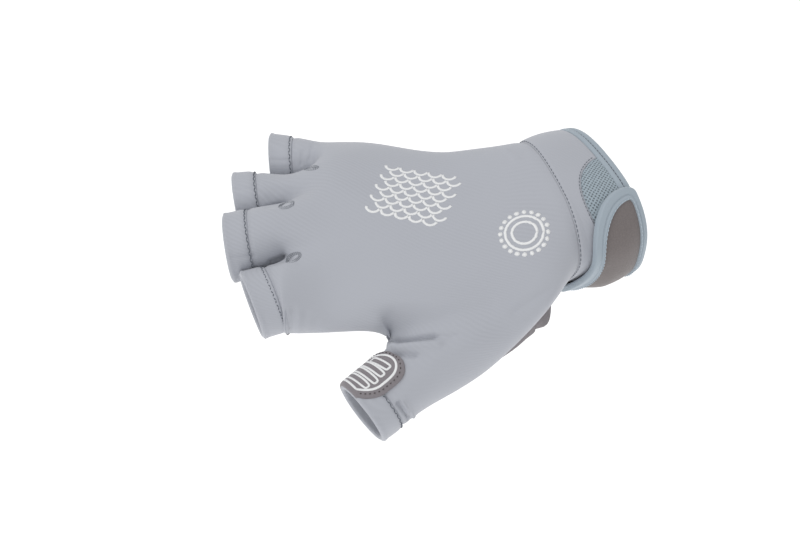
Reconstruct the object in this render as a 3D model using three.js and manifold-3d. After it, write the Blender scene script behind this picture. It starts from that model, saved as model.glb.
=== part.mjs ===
// Half-finger fishing glove for the right hand, kept in the form that a hand gives it.
// Millimetres. +Z is the back of the hand, -X the fingers, -Y the thumb side.
// The origin is the centre of the wrist opening.
// One quad cage is subdivided into a smooth skin, and every cloth piece is cut from it.
import * as THREE from 'three';
import { mergeVertices } from 'three/addons/utils/BufferGeometryUtils.js';
import Module from 'manifold-3d';

const wasm = await Module();
wasm.setup();

// Hand form, over the cloth
const ROOT_BREADTH = 86;      // across the four finger roots
const ROOT_REACH = 112;       // wrist opening to the finger roots, along X
const BODY_DEPTH = 26;        // back to palm at the knuckles
const SECTION_SQUARE = 2.5;   // power of the rounded sections: 2 is an ellipse

// Cuff
const WRIST_BREADTH = 56;
const WRIST_DEPTH = 40;
const CUFF_LENGTH = 25;       // wrist seam to the opening
const CUFF_TURN = 30;         // degrees that the forearm turns towards the little finger
const CUFF_DIP = 8.5;         // degrees that the forearm falls
const CUFF_SWELL = 0.05;      // how much the cuff is larger halfway than at its opening
const CUFF_SEAM_SWELL = 0.05; // how much the seam is larger than the opening
const BINDING_WIDTH = 5.2;    // tape folded over the wrist edge

// Fingers and thumb
const FINGER_WIDTH = 25;      // index hem, outside
const STUB_LENGTH = 22;       // finger root to the hem's edge, longest finger
const HEM_WIDTH = 9;
const THUMB_WIDTH = 25;
const THUMB_LENGTH = 34;      // hem's edge back to the ball of the thumb
const THUMB_TURN = 36.2;      // degrees from -X towards -Y, seen from above
const THUMB_FALL = 14.5;      // degrees below level

// Cloth
const BACK_WALL = 1.2;        // knitted stretch cloth
const PALM_WALL = 1.6;        // grip cloth
const HEM_WALL = 2;           // the same stretch cloth, turned and stitched
const HEM_NECK = 0.985;       // a finger hem's stitched side as a share of its edge
const CUFF_WALL = 1.8;        // doubled stretch cloth
const MESH_WALL = 1.1;        // net insert
const BINDING_WALL = 2.8;     // folded tape with the cuff edge inside it
const HEM_PROUD = 0.35;       // how far a hem stands over the cloth beside it
const GAP = 0.3;              // clearance between neighbouring pieces

// Closure tab and net insert, on the cuff
const TAB_WALL = 1.7;
const TAB_TAPE = 4.6;         // width of the tape round the tab
const TAPE_WALL = 2.4;
const TAPE_LIFT = HEM_PROUD + 0.5;  // over the cuff skin, clear of the proud wrist tape
const TAB_TIP = 127;          // degrees round the wrist from the little finger side
const TAB_ROOT = 238;
const TAB_NOSE = 42;          // degrees of rounded nose
const TAB_REACH = CUFF_LENGTH - 0.6;  // inner edge to the wrist edge, clear of the seam
const TAB_RIM = 0.4;          // the tab's other edge, from the wrist edge
const TAB_TIP_AT = 5;         // where the nose ends, from the wrist edge
const TAB_CORNER = 6;         // degrees of the small corner beside the wrist edge
const TAB_RIM_SHARE = 0.8;    // the tape's width along the wrist edge, as a share
const MESH_TURN = 51.3;       // degrees that the net insert reaches to each side
const MESH_DEEP = CUFF_LENGTH - 4.5;  // how far it reaches from the wrist edge
const MESH_MIDDLE = 136.5;    // degrees round the wrist
const MESH_SUNK = 0.25;       // under the skin of the cuff

// Grip patch on the thumb
const PATCH_LENGTH = THUMB_LENGTH - 10.6;  // from the hem's edge, clear of the crotch
const PATCH_WALL = 1.1;
const PATCH_LIFT = HEM_PROUD + 0.4;  // over the thumb skin, clear of the proud hem
const PATCH_MIDDLE = 20;      // degrees round the thumb, 0 faces the index finger
const PATCH_SPREAD = 86;      // degrees to each side
const PATCH_WIDEST = 0.41;    // share of its length where it is widest
const PATCH_EDGE = 0.6;       // where it ends short of the hem's edge

// Place of the thumb hem's edge, as shares of ROOT_REACH, ROOT_BREADTH and BODY_DEPTH
const THUMB_PLACE = [-0.784, -0.982, -0.85];

// Rows of a table as objects with the names of its columns.
function table(columns, rows) {
  return rows.map((row) => Object.fromEntries(columns.map((column, i) => [column, row[i]])));
}

// Sections of the palm, from the wrist seam to the knuckles. along: share of the way from
// the seam to the finger roots. side, wide: shares of ROOT_BREADTH. up, back, palm and
// arch: shares of BODY_DEPTH. turn, dip: degrees.
const SECTIONS = table(
  ['name', 'along', 'side', 'up', 'wide', 'back', 'palm', 'arch', 'turn', 'dip'],
  [
    ['carpus', 0.15, -0.215, 0.16, 0.8, 0.66, 0.70, 0.02, 22, 5],
    ['heel', 0.31, -0.249, 0.11, 0.87, 0.58, 0.72, 0.06, 15, 2],
    ['ball', 0.48, -0.253, 0.04, 0.95, 0.52, 0.68, 0.14, 9, 0],
    ['web', 0.68, -0.221, -0.04, 1, 0.48, 0.60, 0.24, 4, -2],
    ['knuckle', 0.86, -0.203, -0.11, 1.004, 0.46, 0.52, 0.32, 0, -4],
  ],
);

// Fingers, from the thumb side. along: root's share of ROOT_REACH. side: share of
// ROOT_BREADTH. up: share of BODY_DEPTH. root, hem: widths as shares of FINGER_WIDTH.
// long: share of STUB_LENGTH. splay: degrees towards the thumb. droop: degrees below level.
// cut: degrees that the hem is cut off square.
const FINGERS = table(
  ['name', 'along', 'side', 'up', 'root', 'hem', 'long', 'splay', 'droop', 'cut'],
  [
    ['index', 0.992, -0.571, 0.04, 0.9, 0.99, 0.77, 13, 8.7, 6],
    ['middle', 1.028, -0.283, 0.29, 0.77, 0.94, 0.99, 12, 8, -7],
    ['ring', 0.992, -0.047, 0.13, 0.69, 0.88, 1.045, -1, 8.7, 6],
    ['little', 0.922, 0.17, -0.1, 0.67, 0.82, 0.86, -13.5, 6.3, 13],
  ],
);

// Thumb rings, from the ball to the hem's edge. back: share of THUMB_LENGTH from the edge.
// wide, deep: shares of THUMB_WIDTH. slew: degrees that the ring turns about the crotch.
const THUMB_RINGS = table(
  ['name', 'back', 'wide', 'deep', 'slew'],
  [
    ['ball', 1.06, 1.56, 1.18, 38],
    ['web', 0.6, 1.03, 1.04, 8],
    ['hem_line', HEM_WIDTH / THUMB_LENGTH, 1, 0.98, 0],
    ['edge', 0, 0.98, 0.96, 0],
  ],
);

// Folds and bulges. cloth: the piece moved. from, to: places as shares of ROOT_REACH,
// ROOT_BREADTH and BODY_DEPTH. reach: half width, and lift: height, in shares of BODY_DEPTH.
const FOLDS = table(
  ['name', 'cloth', 'from', 'to', 'reach', 'lift'],
  [
    ['crotch_groove', 'back_panel', [-0.68, -0.73, -0.2], [-0.52, -0.66, 0.1], 0.16, -0.07],
    ['crotch_ridge', 'back_panel', [-0.66, -0.79, -0.35], [-0.5, -0.74, -0.1], 0.16, 0.05],
    ['heel_bulge', 'palm_panel', [-0.32, -0.6, -0.5], [-0.17, -0.42, -0.55], 0.42, 0.16],
  ],
);

const radians = THREE.MathUtils.degToRad;
const lerp = THREE.MathUtils.lerp;

// A place given as shares of the hand's length, breadth and depth.
function fromShares([along, side, up]) {
  return new THREE.Vector3(along * ROOT_REACH, side * ROOT_BREADTH, up * BODY_DEPTH);
}

// Axes of a section whose normal points to the wrist, turned and dipped in degrees.
function sectionAxes(turn, dip) {
  const a = radians(turn);
  const b = radians(dip);
  return {
    out: new THREE.Vector3(Math.cos(a) * Math.cos(b), Math.sin(a) * Math.cos(b), -Math.sin(b)),
    side: new THREE.Vector3(-Math.sin(a), Math.cos(a), 0),
    up: new THREE.Vector3(Math.cos(a) * Math.sin(b), Math.sin(a) * Math.sin(b), Math.cos(b)),
  };
}

// Height of a rounded section, 0 to 1, at a share t of its half width.
function crown(t) {
  return Math.pow(1 - Math.pow(Math.abs(t), SECTION_SQUARE), 1 / SECTION_SQUARE);
}

// The lengthwise lines of the cage: three on each finger, as shares of the half breadth.
const fingerLow = FINGERS[0].side * ROOT_BREADTH - FINGERS[0].root * FINGER_WIDTH / 2;
const fingerHigh = FINGERS[3].side * ROOT_BREADTH + FINGERS[3].root * FINGER_WIDTH / 2;
const LINES = FINGERS.flatMap(({ side, root }) => {
  const middle = (fingerLow + fingerHigh) / 2;
  const half = (fingerHigh - fingerLow) / 2;
  const spread = Math.SQRT1_2 * root * FINGER_WIDTH / 2;
  return [-spread, 0, spread].map((offset) => (side * ROOT_BREADTH + offset - middle) / half);
});

// One ring of points round the hand: over the back, the little finger side, the palm and
// the thumb side.
function bodyRing({ centre, turn, dip, half, back, palm, arch }) {
  const axes = sectionAxes(turn, dip);
  const place = (t, height) => centre.clone()
    .addScaledVector(axes.side, t * half)
    .addScaledVector(axes.up, height + arch * (1 - t * t));
  const over = LINES.map((t) => place(t, back * crown(t)));
  const under = LINES.map((t) => place(t, -palm * crown(t))).reverse();
  return [...over, place(1, 0), ...under, place(-1, 0)];
}

const cuffAxes = sectionAxes(CUFF_TURN, CUFF_DIP);

// Half breadth and half depth of the cuff at a distance from its opening. It swells
// between the opening and the seam.
function cuffHalves(distance) {
  const share = distance / CUFF_LENGTH;
  const swell = 1 + CUFF_SEAM_SWELL * share + CUFF_SWELL * Math.sin(Math.PI * share);
  return { breadth: WRIST_BREADTH / 2 * swell, depth: WRIST_DEPTH / 2 * swell };
}

function cuffRing(distance) {
  const halves = cuffHalves(distance);
  return bodyRing({
    centre: cuffAxes.out.clone().multiplyScalar(-distance),
    turn: CUFF_TURN,
    dip: CUFF_DIP,
    half: halves.breadth,
    back: halves.depth,
    palm: halves.depth,
    arch: 0,
  });
}

// A point over the cuff skin: an angle round the wrist in degrees, 0 at the little finger
// side and 90 on the back, a distance from the opening and a height over the skin.
function cuffPoint(angle, distance, height) {
  const halves = cuffHalves(distance);
  const c = Math.cos(radians(angle));
  const s = Math.sin(radians(angle));
  const reach = Math.pow(Math.pow(Math.abs(c) / halves.breadth, SECTION_SQUARE)
    + Math.pow(Math.abs(s) / halves.depth, SECTION_SQUARE), -1 / SECTION_SQUARE) + height;
  return cuffAxes.out.clone().multiplyScalar(-distance)
    .addScaledVector(cuffAxes.side, c * reach)
    .addScaledVector(cuffAxes.up, s * reach);
}

function palmRing(row) {
  const seam = cuffAxes.out.clone().multiplyScalar(-CUFF_LENGTH);
  const centre = new THREE.Vector3(
    lerp(seam.x, -ROOT_REACH, row.along),
    row.side * ROOT_BREADTH,
    row.up * BODY_DEPTH,
  );
  return bodyRing({
    centre,
    turn: row.turn,
    dip: row.dip,
    half: row.wide * ROOT_BREADTH / 2,
    back: row.back * BODY_DEPTH,
    palm: row.palm * BODY_DEPTH,
    arch: row.arch * BODY_DEPTH,
  });
}

// A finger ring of eight points, from its thumb side over the top.
const FINGER_ANGLES = [180, 135, 90, 45, 0, -45, -90, -135];
function ovalRing(centre, across, up, wide, deep, angles) {
  return angles.map((angle) => centre.clone()
    .addScaledVector(across, Math.cos(radians(angle)) * wide / 2)
    .addScaledVector(up, Math.sin(radians(angle)) * deep / 2));
}

const Y_AXIS = new THREE.Vector3(0, 1, 0);
const Z_AXIS = new THREE.Vector3(0, 0, 1);

// Direction that a finger points in, and the axes of its rings.
function limbAxes(turn, fall) {
  const along = new THREE.Vector3(
    -Math.cos(radians(turn)) * Math.cos(radians(fall)),
    -Math.sin(radians(turn)) * Math.cos(radians(fall)),
    -Math.sin(radians(fall)),
  );
  const across = along.clone().cross(Z_AXIS).normalize();
  return { along, across, up: across.clone().cross(along) };
}

function fingerRings(row) {
  const axes = limbAxes(row.splay, row.droop);
  const root = new THREE.Vector3(
    -row.along * ROOT_REACH,
    row.side * ROOT_BREADTH,
    row.up * BODY_DEPTH,
  );
  const length = row.long * STUB_LENGTH;
  const hem = row.hem * FINGER_WIDTH;
  const cut = limbAxes(row.splay + row.cut, row.droop);
  const ring = (distance, wide) => ovalRing(
    root.clone().addScaledVector(axes.along, distance),
    cut.across, cut.up, wide, wide, FINGER_ANGLES,
  );
  return [
    ovalRing(root, Y_AXIS, Z_AXIS, row.root * FINGER_WIDTH, BODY_DEPTH * row.root, FINGER_ANGLES),
    ring(length - HEM_WIDTH, hem * HEM_NECK),
    ring(length, hem),
  ];
}

// The thumb's axis, and its rings of ten points from the side that faces the index finger.
const thumbAxes = limbAxes(THUMB_TURN, THUMB_FALL);
const THUMB_EDGE = fromShares(THUMB_PLACE);
const THUMB_SIDES = 10;
const THUMB_ANGLES = Array.from({ length: THUMB_SIDES }, (_, i) => 360 * i / THUMB_SIDES);

function thumbPoint(distance) {
  return THUMB_EDGE.clone().addScaledVector(thumbAxes.along, -distance);
}

function thumbRing(row) {
  const across = thumbAxes.across.clone().applyAxisAngle(thumbAxes.up, radians(row.slew));
  return ovalRing(
    thumbPoint(row.back * THUMB_LENGTH),
    across, thumbAxes.up,
    row.wide * THUMB_WIDTH, row.deep * THUMB_WIDTH, THUMB_ANGLES,
  );
}

// The cage: points, quads, and the name of the piece that each quad belongs to.
function buildCage() {
  const points = [];
  const faces = [];
  const names = [];
  const add = (ring) => ring.map((point) => points.push(point) - 1);
  const quad = (name, ...corners) => {
    faces.push(corners);
    names.push(name);
  };

  const fingers = FINGERS.map(fingerRings);
  const rootRings = fingers.map((rings) => add(rings[0]));
  const over = rootRings.flatMap((ring) => ring.slice(1, 4));
  const under = rootRings.flatMap((ring) => ring.slice(5).reverse()).reverse();
  const roots = [...over, rootRings[3][4], ...under, rootRings[0][0]];

  const rows = [
    add(cuffRing(0)),
    add(cuffRing(BINDING_WIDTH)),
    add(cuffRing((BINDING_WIDTH + CUFF_LENGTH) / 2)),
    add(cuffRing(CUFF_LENGTH)),
    ...SECTIONS.map((row) => add(palmRing(row))),
    roots,
  ];
  const seam = 3;
  const sides = rows[0].length;
  const lines = LINES.length;
  const thumbSide = sides - 1;
  const carpus = seam + 1 + SECTIONS.findIndex(({ name }) => name === 'carpus');
  const web = seam + 1 + SECTIONS.findIndex(({ name }) => name === 'web');

  const bodyName = (row, column) => {
    if (row < 1) return 'wrist_binding';
    if (row < seam) return 'cuff_band';
    const below = column > lines && column < thumbSide - 1;
    return below ? 'palm_panel' : 'back_panel';
  };
  for (let row = 0; row + 1 < rows.length; row += 1) {
    for (let column = 0; column < sides; column += 1) {
      const next = (column + 1) % sides;
      const thumbHole = row >= carpus && row < web && column >= thumbSide - 1;
      if (!thumbHole) {
        quad(bodyName(row, column), rows[row][column], rows[row][next],
          rows[row + 1][next], rows[row + 1][column]);
      }
    }
  }

  // The webs between the finger roots
  for (let i = 0; i + 1 < rootRings.length; i += 1) {
    const a = rootRings[i];
    const b = rootRings[i + 1];
    quad('back_panel', a[3], b[1], b[0], a[4]);
    quad('back_panel', a[4], b[0], b[7], a[5]);
  }

  // The finger stubs and their hems
  fingers.forEach((rings, i) => {
    const ringRows = [rootRings[i], add(rings[1]), add(rings[2])];
    for (let k = 0; k < 2; k += 1) {
      for (let j = 0; j < FINGER_ANGLES.length; j += 1) {
        const next = (j + 1) % FINGER_ANGLES.length;
        const below = j === 5 || j === 6;
        const cloth = below ? 'palm_panel' : 'back_panel';
        quad(k === 0 ? cloth : `finger_hem_${FINGERS[i].name}`, ringRows[k][j],
          ringRows[k][next], ringRows[k + 1][next], ringRows[k + 1][j]);
      }
    }
  });

  // The thumb, from the opening that the palm leaves for it
  const stretch = rows.slice(carpus, web + 1).reverse();
  const hole = [
    stretch[0][thumbSide],
    ...stretch.map((row) => row[0]),
    stretch[stretch.length - 1][thumbSide],
    ...stretch.map((row) => row[thumbSide - 1]).reverse(),
  ];
  const thumbRows = [hole, ...THUMB_RINGS.map((row) => add(thumbRing(row)))];
  for (let k = 0; k + 1 < thumbRows.length; k += 1) {
    for (let j = 0; j < THUMB_SIDES; j += 1) {
      const next = (j + 1) % THUMB_SIDES;
      const below = j > 5 && j < 9;
      const cloth = below ? 'palm_panel' : 'back_panel';
      quad(k + 2 === thumbRows.length ? 'thumb_hem' : cloth, thumbRows[k][j],
        thumbRows[k + 1][j], thumbRows[k + 1][next], thumbRows[k][next]);
    }
  }
  return dropUnused({ points, faces, names });
}

// Leaves out the points that no face uses.
function dropUnused({ points, faces, names }) {
  const used = new Map();
  faces.flat().forEach((index) => {
    if (!used.has(index)) used.set(index, used.size);
  });
  return {
    points: [...used.keys()].map((index) => points[index]),
    faces: faces.map((face) => face.map((index) => used.get(index))),
    names,
  };
}

// Neighbours of each point: along edges, across quads, and along an open edge.
function connect({ points, faces }) {
  const edges = new Map();
  const around = points.map(() => ({ faces: [], across: [], beside: new Set(), open: [] }));
  faces.forEach((face, f) => {
    face.forEach((a, k) => {
      const b = face[(k + 1) % face.length];
      const key = a < b ? `${a} ${b}` : `${b} ${a}`;
      if (!edges.has(key)) edges.set(key, { a, b, faces: [] });
      edges.get(key).faces.push(f);
      around[a].faces.push(f);
      around[a].across.push(face[(k + 2) % face.length]);
      around[a].beside.add(b);
      around[b].beside.add(a);
    });
  });
  edges.forEach(({ a, b, faces: owners }) => {
    if (owners.length === 1) {
      around[a].open.push(b);
      around[b].open.push(a);
    }
  });
  return { edges, around };
}

function weighted(terms) {
  const sum = new THREE.Vector3();
  let total = 0;
  terms.forEach(([point, weight]) => {
    sum.addScaledVector(point, weight);
    total += weight;
  });
  return sum.divideScalar(total);
}

// Where each cage point comes to lie on the smooth surface.
function smoothPlaces({ points, faces }) {
  const { around } = connect({ points, faces });
  return points.map((point, i) => {
    const { across, beside, open } = around[i];
    if (open.length === 2) {
      return weighted([[point, 4], [points[open[0]], 1], [points[open[1]], 1]]);
    }
    const n = across.length;
    return weighted([
      [point, n * n],
      ...[...beside].map((j) => [points[j], 4]),
      ...across.map((j) => [points[j], 1]),
    ]);
  });
}

// Moves the cage so that the smooth surface passes through the points it was given.
const FIT_ROUNDS = 6;
function fitCage(cage) {
  let points = cage.points;
  for (let round = 0; round < FIT_ROUNDS; round += 1) {
    const places = smoothPlaces({ points, faces: cage.faces });
    points = points.map((point, i) => point.clone().add(cage.points[i]).sub(places[i]));
  }
  return { ...cage, points };
}

// One Catmull-Clark step: each quad becomes four.
function subdivide({ points, faces, names }) {
  const { edges, around } = connect({ points, faces });
  const centres = faces.map((face) => weighted(face.map((i) => [points[i], 1])));
  const moved = points.map((point, i) => {
    const { beside, open, faces: owners } = around[i];
    if (open.length === 2) {
      return weighted([[point, 6], [points[open[0]], 1], [points[open[1]], 1]]);
    }
    const n = owners.length;
    const faceMean = weighted(owners.map((f) => [centres[f], 1]));
    const edgeMean = weighted([...beside].map((j) => [points[j], 1])).add(point).divideScalar(2);
    return weighted([[faceMean, 1], [edgeMean, 2], [point, n - 3]]);
  });
  const next = [...moved, ...centres];
  const edgeIndex = new Map();
  edges.forEach(({ a, b, faces: owners }, key) => {
    const terms = [[points[a], 1], [points[b], 1]];
    if (owners.length === 2) terms.push([centres[owners[0]], 1], [centres[owners[1]], 1]);
    edgeIndex.set(key, next.push(weighted(terms)) - 1);
  });
  const between = (a, b) => edgeIndex.get(a < b ? `${a} ${b}` : `${b} ${a}`);
  const parts = faces.flatMap((face, f) => face.map((a, k) => [
    a,
    between(a, face[(k + 1) % face.length]),
    points.length + f,
    between(a, face[(k + face.length - 1) % face.length]),
  ]));
  return { points: next, faces: parts, names: names.flatMap((name) => [name, name, name, name]) };
}

function pointNormals(points, faces) {
  const normals = points.map(() => new THREE.Vector3());
  faces.forEach((face) => {
    const [a, b, c, d] = face.map((i) => points[i]);
    const normal = c.clone().sub(a).cross(d.clone().sub(b));
    face.forEach((i) => normals[i].add(normal));
  });
  return normals.map((normal) => normal.normalize());
}

const skin = subdivide(fitCage(buildCage()));
skin.points = smoothPlaces(skin);
skin.normals = pointNormals(skin.points, skin.faces);

// Raises or sinks the points near each fold along their normals.
function foldSkin() {
  FOLDS.forEach(({ cloth, from, to, reach, lift }) => {
    const line = new THREE.Line3(fromShares(from), fromShares(to));
    const near = new THREE.Vector3();
    const owned = new Set(skin.faces.filter((_, f) => skin.names[f] === cloth).flat());
    skin.faces.filter((_, f) => skin.names[f] !== cloth).flat().forEach((i) => owned.delete(i));
    owned.forEach((i) => {
      line.closestPointToPoint(skin.points[i], true, near);
      const share = near.distanceTo(skin.points[i]) / (reach * BODY_DEPTH);
      skin.points[i].addScaledVector(skin.normals[i], lift * BODY_DEPTH * Math.exp(-share * share));
    });
  });
}
foldSkin();
skin.normals = pointNormals(skin.points, skin.faces);

function geometryOf(vertices, triangles) {
  const geometry = new THREE.BufferGeometry();
  geometry.setAttribute('position', new THREE.Float32BufferAttribute(vertices, 3));
  geometry.setIndex(triangles);
  return geometry;
}

function trianglesOf(quads) {
  return quads.flatMap(([a, b, c, d]) => [a, b, c, a, c, d]);
}

// Closes a sheet of quads into a solid: its outer face, its inner face and its rims.
function closeSheet(outer, inner, quads) {
  const count = outer.length;
  const edges = new Map();
  quads.forEach((face) => face.forEach((a, k) => {
    const b = face[(k + 1) % 4];
    if (!edges.delete(`${b} ${a}`)) edges.set(`${a} ${b}`, [a, b]);
  }));
  const rims = [...edges.values()].map(([a, b]) => [b, a, a + count, b + count]);
  const under = quads.map(([a, b, c, d]) => [d + count, c + count, b + count, a + count]);
  const vertices = [...outer, ...inner].flatMap((point) => point.toArray());
  return geometryOf(vertices, trianglesOf([...quads, ...under, ...rims]));
}

// Cuts one piece out of the skin. Where it meets another piece it stands back, by half a
// gap and a little for the facets.
const STAND_BACK = GAP * 0.6;
function cutPiece(name, wall, proud = 0) {
  const quads = skin.faces.filter((_, f) => skin.names[f] === name);
  const used = new Map();
  quads.flat().forEach((i) => {
    if (!used.has(i)) used.set(i, used.size);
  });
  const foreign = new Set(skin.faces.filter((_, f) => skin.names[f] !== name).flat());
  const inward = new Map([...used.keys()].map((i) => [i, new THREE.Vector3()]));
  quads.forEach((face) => {
    const middle = weighted(face.map((i) => [skin.points[i], 1]));
    face.forEach((i) => inward.get(i).add(middle).sub(skin.points[i]));
  });
  const outer = [];
  const inner = [];
  used.forEach((_, i) => {
    const normal = skin.normals[i];
    const point = skin.points[i].clone();
    if (foreign.has(i)) {
      const back = inward.get(i).projectOnPlane(normal).normalize();
      point.addScaledVector(back, STAND_BACK);
    }
    outer.push(point.clone().addScaledVector(normal, proud));
    inner.push(point.clone().addScaledVector(normal, proud - wall));
  });
  return closeSheet(outer, inner, quads.map((face) => face.map((i) => used.get(i))));
}

function toSolid(geometry) {
  const plain = geometry.clone();
  plain.deleteAttribute('normal');
  plain.deleteAttribute('uv');
  const merged = mergeVertices(plain);
  return new wasm.Manifold(new wasm.Mesh({
    numProp: 3,
    vertProperties: new Float32Array(merged.attributes.position.array),
    triVerts: new Uint32Array(merged.index.array),
  }));
}

function fromSolid(solid) {
  const mesh = solid.getMesh();
  return geometryOf(Array.from(mesh.vertProperties), Array.from(mesh.triVerts));
}

// A sheet over the skin, worked out on a grid: place(u, v, height) with u and v from 0 to 1.
function gridSheet(place, alongSteps, acrossSteps, low, high) {
  const outer = [];
  const inner = [];
  for (let i = 0; i <= alongSteps; i += 1) {
    for (let j = 0; j <= acrossSteps; j += 1) {
      outer.push(place(i / alongSteps, j / acrossSteps, high));
      inner.push(place(i / alongSteps, j / acrossSteps, low));
    }
  }
  const row = acrossSteps + 1;
  const quads = [];
  for (let i = 0; i < alongSteps; i += 1) {
    for (let j = 0; j < acrossSteps; j += 1) {
      quads.push([i * row + j, (i + 1) * row + j, (i + 1) * row + j + 1, i * row + j + 1]);
    }
  }
  return closeSheet(outer, inner, quads);
}

// Degrees round the wrist for each millimetre along the skin there.
const DEGREES_PER_MM = 360 / (Math.PI * (WRIST_BREADTH + WRIST_DEPTH) / 2);

// The tab's edges at an angle round the wrist, set in from its outline: distances from
// the wrist edge. The nose is a quarter ellipse, and its other corner a small one.
function tabEdges(angle, inset) {
  const turn = inset * DEGREES_PER_MM;
  const tip = TAB_TIP + turn;
  const quarter = (span) => Math.sqrt(1 - Math.max(0, 1 - (angle - tip) / span) ** 2);
  return {
    inner: lerp(TAB_TIP_AT, TAB_REACH - inset, quarter(TAB_NOSE - turn)),
    rim: lerp(TAB_TIP_AT, TAB_RIM + inset * TAB_RIM_SHARE, quarter(TAB_CORNER)),
  };
}

// Angles from the tab's tip to its root, closer together at the tip.
const TAB_STEPS = 18;
const TAB_CROWDING = 1.8;
function tabAngle(step, inset) {
  const tip = TAB_TIP + inset * DEGREES_PER_MM;
  return lerp(tip, TAB_ROOT, Math.pow(step / TAB_STEPS, TAB_CROWDING));
}

// The cloth face starts part of a step behind the tip, where it is still wide.
const TAB_FACE_START = 0.4;
function tabFace() {
  const inset = TAB_TAPE + GAP;
  const low = TAPE_LIFT + (TAPE_WALL - TAB_WALL) / 2;
  return gridSheet((u, v, height) => {
    const step = lerp(TAB_FACE_START, TAB_STEPS, u);
    const angle = tabAngle(step, inset);
    const { inner, rim } = tabEdges(angle, inset);
    return cuffPoint(angle, lerp(inner, rim, v), height);
  }, TAB_STEPS, 4, low, low + TAB_WALL);
}

// The tape runs from the root along the wrist edge, round the nose and back.
function tabTape() {
  return gridSheet((u, v, height) => {
    const step = Math.round((u * 2 - 1) * TAB_STEPS);
    const side = step < 0 ? 'rim' : 'inner';
    const angles = [0, TAB_TAPE].map((inset) => tabAngle(Math.abs(step), inset));
    const edges = [0, TAB_TAPE].map((inset, k) => tabEdges(angles[k], inset)[side]);
    return cuffPoint(lerp(angles[0], angles[1], v), lerp(edges[0], edges[1], v), height);
  }, TAB_STEPS * 2, 1, TAPE_LIFT, TAPE_LIFT + TAPE_WALL);
}

// The net insert is half an ellipse standing on the wrist tape.
const NET_STEPS = 8;
const NET_LAST = 84;          // degrees of swing at its blunt end
function netSheet(inset, low, high) {
  const turn = MESH_TURN - inset * DEGREES_PER_MM;
  const deep = MESH_DEEP - inset;
  const first = Math.asin((BINDING_WIDTH + GAP + 2 * inset) / deep);
  return gridSheet((u, v, height) => {
    const swing = lerp(first, radians(NET_LAST), u);
    const half = turn * Math.cos(swing);
    return cuffPoint(MESH_MIDDLE + lerp(-half, half, v), deep * Math.sin(swing), height);
  }, NET_STEPS, NET_STEPS, low, high);
}

// The thumb's skin, seen from its axis.
const skinMesh = new THREE.Mesh(
  geometryOf(skin.points.flatMap((point) => point.toArray()), trianglesOf(skin.faces)),
  new THREE.MeshBasicMaterial({ side: THREE.DoubleSide }),
);
function thumbSkin(angle, distance, height) {
  const middle = thumbPoint(distance);
  const away = thumbAxes.across.clone().multiplyScalar(Math.cos(radians(angle)))
    .addScaledVector(thumbAxes.up, Math.sin(radians(angle)));
  const ray = new THREE.Raycaster(middle, away, 0, THUMB_WIDTH);
  const [hit] = ray.intersectObject(skinMesh);
  return middle.addScaledVector(away, hit.distance + height);
}

// The grip patch: an ellipse round the thumb, cut off at the hem's edge.
const PATCH_STEPS = 12;
const PATCH_LAST = 80;        // degrees of swing at its blunt end
function patchSheet() {
  const widest = PATCH_LENGTH * PATCH_WIDEST;
  const reach = PATCH_LENGTH - widest;
  const first = -Math.asin((widest - PATCH_EDGE) / reach);
  return gridSheet((u, v, height) => {
    const swing = lerp(radians(PATCH_LAST), first, u);
    const spread = PATCH_SPREAD * Math.cos(swing);
    const distance = widest + reach * Math.sin(swing);
    return thumbSkin(PATCH_MIDDLE + lerp(-spread, spread, v), distance, height);
  }, PATCH_STEPS, PATCH_STEPS, PATCH_LIFT, PATCH_LIFT + PATCH_WALL);
}

const group = new THREE.Group();
function addPiece(name, geometry, finish) {
  const mesh = new THREE.Mesh(geometry, new THREE.MeshStandardMaterial({ metalness: 0, ...finish }));
  mesh.name = name;
  group.add(mesh);
}

const STRETCH = { color: 0xacb2b8, roughness: 0.75 };
const GRIP = { color: 0x858084, roughness: 0.9 };
const TAPE = { color: 0xa0acb6, roughness: 0.7 };
const NET = { color: 0x94a3ac, roughness: 0.85 };
const LOOP_CLOTH = { color: 0x766f6e, roughness: 0.95 };

// The palm cloth is also cut clear of the back cloth, moved most of a gap to each side and
// up and down, where the crotches fold their edges over.
const CUT_SHIFT = 0.8 * GAP;
const back = toSolid(cutPiece('back_panel', BACK_WALL));
const clearance = [Y_AXIS, Z_AXIS].flatMap((axis) => [-CUT_SHIFT, CUT_SHIFT].map(
  (shift) => back.translate(axis.clone().multiplyScalar(shift).toArray()),
));
const [palm] = toSolid(cutPiece('palm_panel', PALM_WALL))
  .subtract(wasm.Manifold.union([back, ...clearance]))
  .decompose()
  .sort((a, b) => b.volume() - a.volume());
addPiece('back_panel', cutPiece('back_panel', BACK_WALL), STRETCH);
addPiece('palm_panel', fromSolid(palm), GRIP);
FINGERS.forEach(({ name }) => {
  const hem = `finger_hem_${name}`;
  addPiece(hem, cutPiece(hem, HEM_WALL, HEM_PROUD), STRETCH);
});
addPiece('thumb_hem', cutPiece('thumb_hem', HEM_WALL, HEM_PROUD), STRETCH);
addPiece('wrist_binding', cutPiece('wrist_binding', BINDING_WALL, HEM_PROUD), TAPE);

const CUTTER_REACH = 4;       // past both faces of the cuff
const cuff = toSolid(cutPiece('cuff_band', CUFF_WALL));
const netHole = toSolid(netSheet(-GAP, -CUFF_WALL - CUTTER_REACH, CUTTER_REACH));
addPiece('cuff_band', fromSolid(cuff.subtract(netHole)), STRETCH);
addPiece('cuff_mesh', netSheet(0, -MESH_SUNK - MESH_WALL, -MESH_SUNK), NET);
addPiece('closure_tab', tabFace(), LOOP_CLOTH);
addPiece('tab_binding', tabTape(), TAPE);
addPiece('thumb_patch', patchSheet(), GRIP);

export default group;
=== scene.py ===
import math
from functools import lru_cache, partial

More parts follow.
